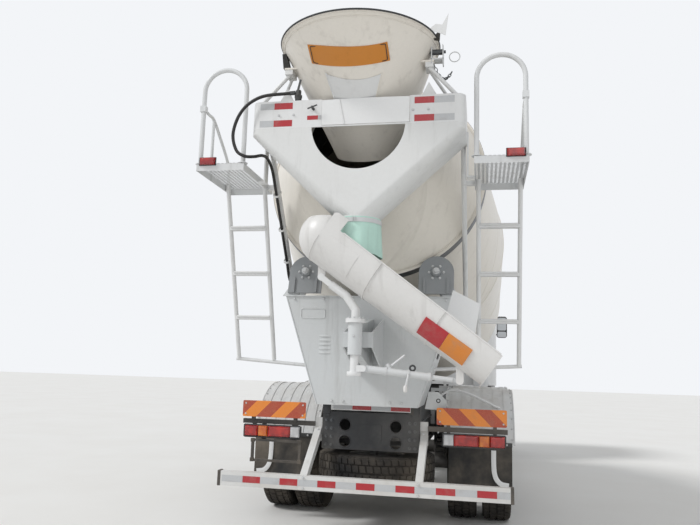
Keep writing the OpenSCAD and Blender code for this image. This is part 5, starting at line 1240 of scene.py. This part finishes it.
# %% [markdown]
# The water hose is one smooth rubber tube along its whole route from the tap to its gland in the
# pedestal. Straps hold it to the leaning post, and crimped ferrules close its ends.

# %% Water hose
HOSE = np.array([
    [-494, -613, 3582], [-560, -645, 3565], [-700, -665, 3550], [-790, -668, 3525], [-880, -668, 3465],
    [-950, -655, 3370], [-985, -640, 3240], [-955, -625, 3120], [-890, -612, 3075], [-840, -530, 3095],
    [-816, -400, 3145], [-812, -270, 3158], [-810, -135, 3100], [-810, 0, 2940], [-810, 220, 2660],
    [-810, 420, 2405], [-810, 545, 2245], [-768, 620, 2180], [-722, 655, 2135], [-722, 655, 2098],
    [-722, 655, 2061.3]]) / 1000 + [0, REAR, 0]
route = smooth_path(HOSE, 6)
hose = piece("hose_tube", tube(route, 0.013, 18, (0.5, -0.6, 0.6)), "root", "hose_rubber", smooth=60)
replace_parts(hose, "water_hose")
ends = [tube([HOSE[0], HOSE[0] + 0.045 * unit(HOSE[1] - HOSE[0])], 0.0165, 18),
        tube([HOSE[-1] + [0, 0, 0.004], HOSE[-1] + [0, 0, 0.050]], 0.0165, 18, (0, 1, 0))]
piece("hose_ferrules", join(ends), "root", "hose_rubber", "roller_steel")


def strap(centre, along, wide, deep, width=0.018, thick=0.003):
    """A band round a rounded rectangle: four corners of its section carried round the outline."""
    normal = unit(np.asarray(along, float))
    across = unit(np.cross([0, 1, 0.4], normal))
    other = np.cross(normal, across)
    flat = rounded(wide, deep, min(wide, deep) * 0.49, 8)
    out = unit(np.roll(flat, -1, 0) - np.roll(flat, 1, 0))[:, ::-1] * [1, -1]
    ring = [(flat + out * t) @ np.stack([across, other]) + normal * w + centre
            for t, w in ((0, -width / 2), (thick, -width / 2), (thick, width / 2), (0, width / 2))]
    return np.stack(ring, 1).reshape(-1, 3), [*map(tuple, grid(len(flat), 4, True, True))]


POST_WAY = np.array([0, -0.990, 1.285])
STRAPS = [(44, 2935, 0.118), (238, 2668, 0.104),
          (440, 2412, 0.100)]  # station, height, depth round post and hose
piece("hose_straps", join([strap(at(-810, y, z), POST_WAY, 0.052, deep) for y, z, deep in STRAPS]), "root",
      "portal_white", "cab_white")

# %% [markdown]
# Each mudflap is a rubber sheet that hangs from the mudguard's edge. It bows a little, its lower
# edge curls back, and a white J-shaped strip is riveted to it.

# %% Mudflaps
u, v = np.linspace(0, 1, 22)[:, None], np.linspace(0, 1, 18)[None]
bow = 0.010 * np.sin(np.pi * u * 1.5 + 0.4) * v ** 2 + 0.014 * v ** 6
flap = np.stack([0.652 + 0.576 * u + 0 * v, REAR + 1.0325 - bow, 0.806 - 0.384 * v + 0 * u], -1)
right = slab(flap, flap + [0, 0.0065, 0])
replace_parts(piece("mudflap_sheets", join([right, mirrored(right)]), "root", "flap_rubber", smooth=50),
            "mudflaps")
J_LINE = [(1.062, 0.735), (1.062, 0.640), (1.066, 0.550), (1.085, 0.485), (1.128, 0.443), (1.196, 0.432)]
j_line = smooth_path([(x, 0, z) for x, z in J_LINE], 6)
j_line[:, 1] = REAR + 1.0300 - np.linspace(0, 0.020, len(j_line))
strip = swept(j_line, rounded(0.044, 0.005, 0.002, 3), (0, 1, 0))
piece("flap_strips", join([strip, mirrored(strip)]), "root", "flap_rubber", "cab_white")
bars = block([(x, REAR + 1.024, 0.772) for x in (0.650, -1.230)],
             [(x, REAR + 1.0322, 0.806) for x in (1.230, -0.650)])
piece("flap_bar", bars, "root", "flap_rubber", "chassis_black", bevel=0.002)
rivets = [(s * x, REAR + 1.024, 0.789) for s in (-1, 1) for x in (0.70, 0.82, 0.94, 1.06, 1.18)]
bolts("flap_bolts", rivets, (0, -1, 0), "root", "flap_rubber", 0.014, "jack_steel")

# %% [markdown]
# The spare wheel lies flat under the frame's end with the same tread. Its rim is a turned
# profile: the barrel, and a disc that leans in to the bolt circle.

# %% Spare wheel
LAID = np.array([[0, 0, -1.0], [0, 1, 0], [1, 0, 0]])
SPARE_AT = at(0, 900, 555)
rim_barrel = [(0.246, -0.112), (0.262, -0.112), (0.262, 0.112), (0.246, 0.112)]
rim_disc = [(0.249, -0.002), (0.249, 0.010), (0.180, 0.060), (0.020, 0.060), (0.020, 0.048), (0.180, 0.048)]
spare = piece("spare_tyre", moved(tyre(), SPARE_AT, LAID), "root", "tyre_black", smooth=30)
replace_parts(spare, "spare_wheel")
spare_rim = join([moved(turned(rim_barrel, 64), SPARE_AT), moved(turned(rim_disc, 64), SPARE_AT)])
piece("spare_rim", spare_rim, "root", "rim_steel")

# %% [markdown]
# Ten nuts with washers hold each wheel, eight small bolts close each hub cap, and a brass valve
# stem leans out of one hand hole. They turn with their wheel.

# %% Wheel nuts, hub bolts and valves
MATERIALS["valve_brass"] = finish("valve_brass", "a58a4e", 0.35, 0.4, 0.1, 0.001, metallic=0.9)
RIM_LIP = [(0.2605, -0.004), (0.2680, -0.002), (0.2680, 0.004), (0.2605, 0.006)]
WHEELS = [(axle, side, AXLES[axle]) for axle in AXLES for side in (-1, 1)]
for axle, side, station in WHEELS:
    label = "l" if side < 0 else "r"
    twin = axle != "front"
    body = f"wheels_{axle}_{label}" if twin else f"wheel_front_{label}"
    middle, face, cap = (TWIN_X, 0.065, 0.156) if twin else (FRONT_X, 0.112, 0.152)
    hub_at = np.array([0, station + REAR, TYRE_R])
    for name, count, radius, x, size in (("nuts", 10, 0.166, middle + face, 0.030),
                                         ("cap_bolts", 8, 0.084, middle + cap, 0.014)):
        a = (np.arange(count) + 0.5) * 2 * np.pi / count
        spots = hub_at + np.stack([0 * a + side * x, radius * np.sin(a), radius * np.cos(a)], -1)
        bolts(f"{name}_{axle}_{label}", spots, (side, 0, 0), body, "rim_steel", size, "roller_steel")
    outer_x = middle + 0.112 + (TWIN_STEP if twin else 0)
    lip = moved(turned(RIM_LIP, 64), hub_at + [side * outer_x, 0, 0], facing_turn((1, 0, 0)))
    piece(f"rim_lip_{axle}_{label}", lip, body, "rim_steel")
    start = hub_at + [side * (middle + (0.150 if twin else 0.060)), 0.0, 0.225]
    lean = [start + [side * out, 0, -drop] for out, drop in ((0, 0), (0.030, 0.004), (0.062, 0.020))]
    stem = tube(smooth_path(lean, 5), 0.0055, 10, (0, 1, 0))
    piece(f"valve_{axle}_{label}", stem, body, "rim_steel", "valve_brass")

# %% [markdown]
# The mudguards have a rolled edge and a row of bolts along each arch, and a thin stay runs down
# over the right one. The bolts stand square on the arch, so each is turned by its place on it.

# %% Mudguard edges, bolts and stay
GUARD_R = 0.735
spans = {"rear": (AXLES["rear"], -156, -64), "mid": (AXLES["mid"], -116, -24)}
for axle, (station, first, last) in spans.items():
    centre = np.array([0, station + REAR, TYRE_R])
    a = np.radians(np.linspace(-first, -last, 12))
    radial = np.stack([0 * a, np.cos(a), np.sin(a)], -1)
    spots, turns = [], []
    for x in (-1.232, -0.628, 0.628, 1.232):
        spots.append(centre + [x, 0, 0] + radial * (GUARD_R + 0.0002))
        turns += [facing_turn(r) for r in radial]
    heads = copies(bolt_head(0.014), np.concatenate(spots), turns)
    piece(f"guard_bolts_{axle}", heads, "root", "guard_white", "jack_steel")
    a = np.radians(np.linspace(-first + 4, -last - 4, 40))
    edge = np.stack([0 * a, np.cos(a), np.sin(a)], -1) * (GUARD_R - 0.003) + centre
    rolled = [tube(edge + [x, 0, 0], 0.008, 10, (1, 0, 0)) for x in (-1.250, -0.610, 0.610, 1.250)]
    piece(f"guard_rolled_{axle}", join(rolled), "root", "guard_white")
stay_path = [at(440, 1200, 1100), at(700, 1225, 1265), at(1125, 1262, 1106)]
piece("guard_stay", tube(smooth_path(stay_path, 8), 0.011, 12), "root", "guard_white", "portal_white")

# %% [markdown]
# The black end plate carries two columns of bolts on each side, raised rings round its four
# holes and a bare raised field in its middle. The plate frame has rubber corners.

# %% End plate
END_Y = REAR + 0.468
columns = [(s * x, END_Y, z) for s in (-1, 1) for x in (0.345, 0.392) for z in (0.775, 0.845, 0.915, 0.985)]
bolts("end_plate_bolts", columns, (0, -1, 0), "root", "chassis_black", 0.022, "roller_steel")
rings = [ring_of(0.053, 0.005, (x, END_Y, z), (0, 1, 0), 40, 8) for x in (-0.225, 0.225)
         for z in (0.810, 0.950)]
piece("end_plate_rings", join(rings), "root", "chassis_black")
field = upright_plate(0.200, 0.150, 0.020, (0, END_Y, 0.885), 0.005)
piece("end_plate_field", field, "root", "chassis_black")
cap_blocks = block([(s * 0.3915 - 0.029, REAR + 0.455, 1.040) for s in (-1, 1)],
                   [(s * 0.3915 + 0.029, REAR + 0.462, 1.186) for s in (-1, 1)])
piece("end_upright_faces", cap_blocks, "root", "chassis_black", bevel=0.003)
pads = [(x, z) for x in (-1.076, -0.640) for z in (0.596, 0.765)]
corner_pads = block([(x, REAR + 0.436, z) for x, z in pads],
                    [(x + 0.036, REAR + 0.459, z + 0.034) for x, z in pads])
piece("plate_frame_pads", corner_pads, "root", "marker_orange", "flap_rubber", bevel=0.004)
strut_bolts = [(s * 0.466, y + REAR, z) for s in (-1, 1) for y, z in ((0.030, 0.560), (0.470, 0.898))]
bolts("strut_bolts", strut_bolts, (0, -1, 0.3), "root", "underrun_white", 0.020, "jack_steel")
lamp_wells = [upright_plate(0.534, 0.118, 0.016, (s * 0.890, REAR + 0.4655, 0.862), 0.0015) for s in (-1, 1)]
piece("lamp_rims", join(lamp_wells), "root", "lamp_red", "trim_dark")
bar_bolts = [(x, REAR, BAR_Z + dz) for x in (-0.466, 0.466) for dz in (-0.042, 0.042)]
bolts("underrun_bolts", bar_bolts, (0, -1, 0), "root", "underrun_white", 0.018, "jack_steel")

# %% [markdown]
# The cab's front can't be seen in the photograph, so it is finished as such cabs are: dark
# grilles, clear head lamps with two turned reflectors each, indicators, roof lamps, three wipers,
# a rubber seal round each pane and a bare oval field where a badge would be.

# %% Cab front
CAB_FRONT, CAB_BACK, CAB_X = 8540, 6520, 1.200
BUMPER_FRONT = 8580
MATERIALS["mesh_dark"] = finish("mesh_dark", "191b1d", 0.6, 0.2, 0.0, 0.001)


def front_plate(width, high, radius, x, z, station, thick):
    """A rounded plate that faces forward, its back at the station."""
    flat, faces = prism(rounded(width, high, radius), 0, thick)
    return np.stack([flat[:, 0], flat[:, 2], flat[:, 1]], 1) + at(x * 1000, station, z * 1000), faces


FORWARD = (1, -1, 1)  # turns a lens that faces backwards to the front
GRILLES = [(1.720, 1.620, 0.240), (1.500, 1.330, 0.180)]  # width, height of the middle, height
GRILLE_DEEP, RIB_PITCH = 28, 0.030
REFLECTOR = [  # radius and depth of a head lamp's cup
    (0, 0.001), (0.020, 0.002), (0.055, 0.007), (0.072, 0.010), (0.076, 0.0105), (0.076, 0.0005), (0, 0.0005)]
FOG_LENS = [(0, 0.001), (0.035, 0.004), (0.048, 0.010), (0.052, 0.009), (0.052, 0), (0, 0)]
for k, (width, z, high) in enumerate(GRILLES):
    back = front_plate(width - 0.004, high - 0.004, 0.038, 0, z, CAB_FRONT - GRILLE_DEEP, 0.002)
    piece(f"grille_back_{k}", back, "cab", "cab_white", "mesh_dark")
    x = np.arange(-width / 2 + 0.03, width / 2 - 0.02, RIB_PITCH)
    rear, front = ((CAB_FRONT - deep) / 1000 + REAR for deep in (26, 16))
    ribs = block(np.stack([x - 0.0015, 0 * x + rear, 0 * x + z - high / 2 + 0.004], 1),
                 np.stack([x + 0.0015, 0 * x + front, 0 * x + z + high / 2 - 0.004], 1))
    piece(f"grille_ribs_{k}", ribs, "cab", "cab_white", "mesh_dark")
badge = front_plate(0.300, 0.090, 0.044, 0, 1.885, CAB_FRONT - 9, 0.006)
piece("badge_field", badge, "cab", "cab_white", "tank_aluminium")
for s, label in ((-1, "left"), (1, "right")):
    lamp_at = at(s * 900, BUMPER_FRONT, 720)
    lamp_glass = mirrored(crowned(0.396, 0.186, 0.016), FORWARD)
    lamp_glass = moved(lamp_glass, lamp_at + [0, 0.010, 0])
    piece(f"head_glass_{label}", lamp_glass, "root", "lamp_red", "glass_clear")
    cups = [moved(turned(REFLECTOR, 40, False), lamp_at + [dx, 0, 0], facing_turn((0, 1, 0)))
            for dx in (-0.095, 0.085)]
    piece(f"head_reflectors_{label}", join(cups), "root", "lamp_red", "tank_aluminium")
    turn_lens = moved(mirrored(crowned(0.070, 0.150, 0.012), FORWARD), at(s * 1055, CAB_FRONT - 14, 1500))
    piece(f"indicator_{label}", turn_lens, "cab", "cab_white", "lens_amber")
    fog = moved(turned(FOG_LENS, 36, False), at(s * 560, BUMPER_FRONT, 570), facing_turn((0, 1, 0)))
    piece(f"fog_lamp_{label}", fog, "root", "lamp_red", "lens_clear")
ROOF_LAMP_X = (-850, -360, 0, 360, 850)
flat, faces = crowned(0.110, 0.040, 0.024)
roof = (flat[:, [0, 2, 1]] * [1, 1, -1], faces)
roof_row = join([moved(roof, at(x, CAB_FRONT - 420, 3024)) for x in ROOF_LAMP_X])
piece("roof_lamps", roof_row, "cab", "cab_white", "lens_amber")

# %% [markdown]
# Rubber seals run round every pane. Each is a round profile carried along the pane's outline,
# and the windscreen's leans with it: where the outline rises, it goes back by the screen's slope.

# %% Seals and wipers


def screen_station(z):
    """Station of the cab's front at a height: straight between the profile's corners."""
    return np.interp(z, [1180, 1800, 2020, 2970], [CAB_FRONT, CAB_FRONT, CAB_FRONT - 30, CAB_FRONT - 330])


def closed_loop(outline):
    """The outline with its first points again at the end, so that a tube meets itself."""
    return np.concatenate([outline, outline[:2]])


SCREEN_W, SCREEN_H, SCREEN_Z = 2.080, 0.800, 2.330
loop = closed_loop(rounded(SCREEN_W, SCREEN_H, 0.080, 8))
z = (loop[:, 1] + SCREEN_Z) * 1000
seal = at(0, 0, 0) + np.stack([loop[:, 0], (screen_station(z) + 1) / 1000, z / 1000], -1)
piece("screen_seal", tube(seal, 0.012, 10, (0, 1, 0.3)), "cab", "cab_white", "flap_rubber")
loop = closed_loop(rounded(0.900, 0.420, 0.060, 8))
back_seal = np.stack([loop[:, 0], 0 * loop[:, 0] + (CAB_BACK - 1) / 1000 + REAR, loop[:, 1] + 2.450], -1)
piece("back_seal", tube(back_seal, 0.010, 10, (0, 1, 0)), "cab", "cab_white", "flap_rubber")
PANE_Y, PANE_Z, PANE_W, PANE_H = 7635, 2.380, 0.970, 0.640
LOCK_Y, LOCK_Z = REAR + 7.285, 1.770
GRIP_Y, GRIP_Z = REAR + 7.230, 1.828
MIRROR_X, MIRROR_BACK = 1.340, REAR + 8.2645
for s, label in ((-1, "l"), (1, "r")):
    loop = closed_loop(rounded(PANE_W, PANE_H, 0.060, 8))
    ring = np.stack([0 * loop[:, 0] + s * (CAB_X + 0.001), loop[:, 0] + PANE_Y / 1000 + REAR,
                     loop[:, 1] + PANE_Z], -1)
    piece(f"door_seal_{label}", tube(ring, 0.009, 10, (1, 0, 0)), f"door_{label}", "cab_white", "flap_rubber")
    lock = tube([(s * (CAB_X - 0.001), LOCK_Y, LOCK_Z), (s * (CAB_X + 0.004), LOCK_Y, LOCK_Z)], 0.012, 20)
    piece(f"door_lock_{label}", lock, f"door_{label}", "cab_white", "roller_steel")
    grip = rounded(0.176, 0.090, 0.030, 6)
    cup = np.stack([0 * grip[:, 0] + s * (CAB_X + 0.0005), grip[:, 0] + GRIP_Y, grip[:, 1] + GRIP_Z], -1)
    edge = tube(closed_loop(cup), 0.0035, 8, (1, 0, 0))
    piece(f"handle_edge_{label}", edge, f"door_{label}", "cab_white", "trim_dark")
    mirrors = [upright_plate(0.170, high, 0.030, (s * MIRROR_X, MIRROR_BACK, z), 0.002)
               for high, z in ((0.250, 2.410), (0.110, 2.205))]
    piece(f"mirror_glass_{label}", join(mirrors), "cab", "trim_dark", "tank_aluminium")
arms = []
WIPER_X, WIPER_CAP = (-700, -80, 540), [(0, -0.004), (0.022, -0.004), (0.020, 0.018), (0, 0.024)]
for x in WIPER_X:
    low, high = at(x, screen_station(1950) + 14, 1950), at(x + 330, screen_station(2260) + 16, 2260)
    blade = np.stack([high + [-0.10, 0.012, -0.150], high, high + [0.10, -0.034, 0.130]])
    arms += [tube([low, low * 0.3 + high * 0.7 + [0, 0.012, 0], high], 0.0065, 8),
             tube(smooth_path(blade, 6), 0.0055, 8),
             moved(turned(WIPER_CAP, 20, False), low, facing_turn((0, 1, 0)))]
piece("wipers", join(arms), "cab", "cab_white", "mesh_dark")

# %% [markdown]
# A chequered tread lies in the bumper's steps and the boarding steps, and a rubber lip runs along
# the bumper's lower edge.

# %% Steps and bumper trim


def studs(low, high, z, pitch=0.032):
    """Small lens-shaped studs over a rectangle, each row shifted by half a pitch from the last."""
    x = np.arange(low[0] + 0.02, high[0] - 0.01, pitch)[:, None]
    y = np.arange(low[1] + 0.02, high[1] - 0.01, pitch / 2)[None]
    shift = np.arange(y.size)[None] % 2 * pitch / 2
    spots = np.stack(np.broadcast_arrays(x + shift, y, z), -1).reshape(-1, 3)
    stud = turned([(0, 0.0035), (0.006, 0.0025), (0.009, 0), (0, 0)], 8, False)
    stud = (stud[0] * [1.0, 0.55, 1], stud[1])
    return copies(stud, spots)


STEP_Y0, STEP_Y1 = 7.820 + REAR, 8.230 + REAR
STEP_X, STEP_HALF = 1.105, 0.093
treads = [studs((s * STEP_X - STEP_HALF, STEP_Y0), (s * STEP_X + STEP_HALF, STEP_Y1), z)
          for s in (-1, 1) for z in (0.4705, 0.8305)]
piece("step_studs", join(treads), "root", "step_black", "drive_grey")
kick = [front_plate(0.220, 0.070, 0.020, s * 0.800, 0.560, BUMPER_FRONT - 20, 0.003) for s in (-1, 1)]
piece("bumper_step_faces", join(kick), "root", "bumper_grey", "step_black")
slots = [front_plate(1.074, 0.040, 0.018, 0, z, BUMPER_FRONT - 22, 0.002) for z in (0.700, 0.770, 0.840)]
piece("bumper_slots", join(slots), "root", "bumper_grey", "mesh_dark")
side = np.linspace(0, np.pi / 2, 12)
CORNER_X, CORNER_Y, CORNER_R = 1.100, 8.480, 0.103
c, s = CORNER_R * np.cos(side), CORNER_R * np.sin(side)
bend = np.concatenate([[[-1.203, 8.330]], np.stack([-CORNER_X - c, CORNER_Y + s], -1),
                       np.stack([CORNER_X + s, CORNER_Y + c], -1), [[1.203, 8.330]]])
edge = np.stack([bend[:, 0], bend[:, 1] + REAR, 0 * bend[:, 0] + 0.486], -1)
piece("bumper_lip", tube(edge, 0.009, 10), "root", "bumper_grey", "flap_rubber")

# %% [markdown]
# Along the sides: steel bands round the water tank, the air tanks and the fuel tank, filler caps,
# ribs and latches on the battery box, bolts along the rails, and clips on the springs. Bands and
# caps are turned profiles; the fuel tank's band is its rounded outline at four places.

# %% Tanks, boxes and rails
ALONG_TRUCK = facing_turn((0, 1, 0))
TANK_AT = at(-930, 0, 1180)
FILLER = [(0, 0.045), (0.050, 0.043), (0.056, 0.034), (0.056, 0.010), (0.064, 0.008), (0.064, -0.006),
          (0, -0.006)]
DISHED_END = [(0, 0.030), (0.120, 0.026), (0.200, 0.014), (0.244, 0.000), (0, 0)]


def hoops(inner, outer, half, places, steps):
    """Flat rings about the truck's length: a small rectangle turned round, set at each place."""
    ring = turned([(inner, -half), (outer, -half), (outer, half), (inner, half)], steps)
    return join([moved(ring, place, ALONG_TRUCK) for place in places])


bands = hoops(0.2505, 0.2545, 0.016, [TANK_AT + [0, y, 0] for y in (4.480, 4.630, 5.370, 5.520)], 72)
piece("water_tank_bands", bands, "root", "portal_white", "jack_steel")
ends = join([moved(turned(DISHED_END, 64, False), TANK_AT + [0, y, 0], facing_turn((0, s, 0)))
             for y, s in ((5.650, 1), (4.350, -1))])
piece("water_tank_ends", ends, "root", "portal_white")
fill = [moved(turned(FILLER, 36, False), at(*place)) for place in ((-930, 5000, 1430), (840, 5600, 1080))]
piece("filler_caps", join(fill), "root", "tank_aluminium", "drive_grey")
FUEL_X, FUEL_Z = 0.840, 0.800
# The band's four lines: the tank's outline scaled, and the way along in millimetres
BAND_LINES = [(0.995, 5), (1.008, 5), (1.008, 55), (0.995, 55)]
wide, high = rounded(0.626, 0.566, 0.093, 8).T
fuel_bands = []
for y in (5100, 5840):
    lines = [np.stack([wide * k + FUEL_X, 0 * wide + (y + dy) / 1000 + REAR, high * k + FUEL_Z], -1)
             for k, dy in BAND_LINES]
    fuel_bands.append((np.concatenate(lines), list(map(tuple, grid(4, len(wide), True, True)))))
piece("fuel_tank_bands", join(fuel_bands), "root", "tank_aluminium", "roller_steel")
air_at = [at(-650, y0 + dy, 650) for y0 in (5000, 5500) for dy in (60, 210, 360)]
piece("air_tank_bands", hoops(0.1203, 0.1230, 0.010, air_at, 48), "root", "step_black", "roller_steel")
lid_x = np.arange(0.540, 1.130, 0.060)
ribs = block(np.stack([lid_x, 0 * lid_x + 4.170 + REAR, 0 * lid_x + 1.0195], 1),
             np.stack([lid_x + 0.020, 0 * lid_x + 4.730 + REAR, 0 * lid_x + 1.026], 1))
piece("battery_ribs", ribs, "root", "step_black", bevel=0.002)
latches = block([at(1149, y, 940) for y in (4260, 4600)], [at(1158, y + 40, 1000) for y in (4260, 4600)])
piece("battery_latches", latches, "root", "step_black", "roller_steel", bevel=0.002)
RAIL_X = 0.4325
rail_y = np.concatenate([np.arange(620, 1700, 90), np.arange(2000, 3000, 90), np.arange(3700, 6300, 130)])
spots = np.array([(s * RAIL_X, y / 1000 + REAR, z) for s in (-1, 1) for y in rail_y for z in (0.785, 0.995)])
turns = np.stack([facing_turn((np.sign(x), 0, 0)) for x in spots[:, 0]])
piece("rail_bolts", copies(bolt_head(0.022), spots, turns), "root", "chassis_black", "roller_steel")
guard = [tube([at(s * 1202, 3960, z), at(s * 1202, 3966, z)], 0.041, 16) for s in (-1, 1) for z in (560, 800)]
piece("side_guard_ends", join(guard), "root", "jack_steel", "flap_rubber")
CLIPS = [(s * 525, 2425 + dy) for s in (-1, 1) for dy in (-330, 300)]
clips = block([at(x - 50, y, 682) for x, y in CLIPS], [at(x + 50, y + 26, 770) for x, y in CLIPS])
piece("spring_clips", clips, "root", "chassis_black", bevel=0.003)
a = np.arange(16) * np.pi / 8
flange = DRUM_AT + np.stack([0.265 * np.cos(a), 0.265 * np.sin(a), 0 * a + 5.236], -1) @ DRUM_TURN.T
bolts("gear_bolts", flange, backwards, "root", "drive_grey", 0.022, "roller_steel")
FIN = np.array([(0.250, 0), (0.258, 0), (0.258, 0.006), (0.250, 0.006)])
fins = [moved(turned(FIN + [0, along], 48), DRUM_AT, DRUM_TURN) for along in np.arange(5.06, 5.22, 0.026)]
piece("gear_fins", join(fins), "root", "drive_grey")

# %% [markdown]
# At the very end the view layer is brought up to date.

# %% Final update
bpy.context.view_layer.update()
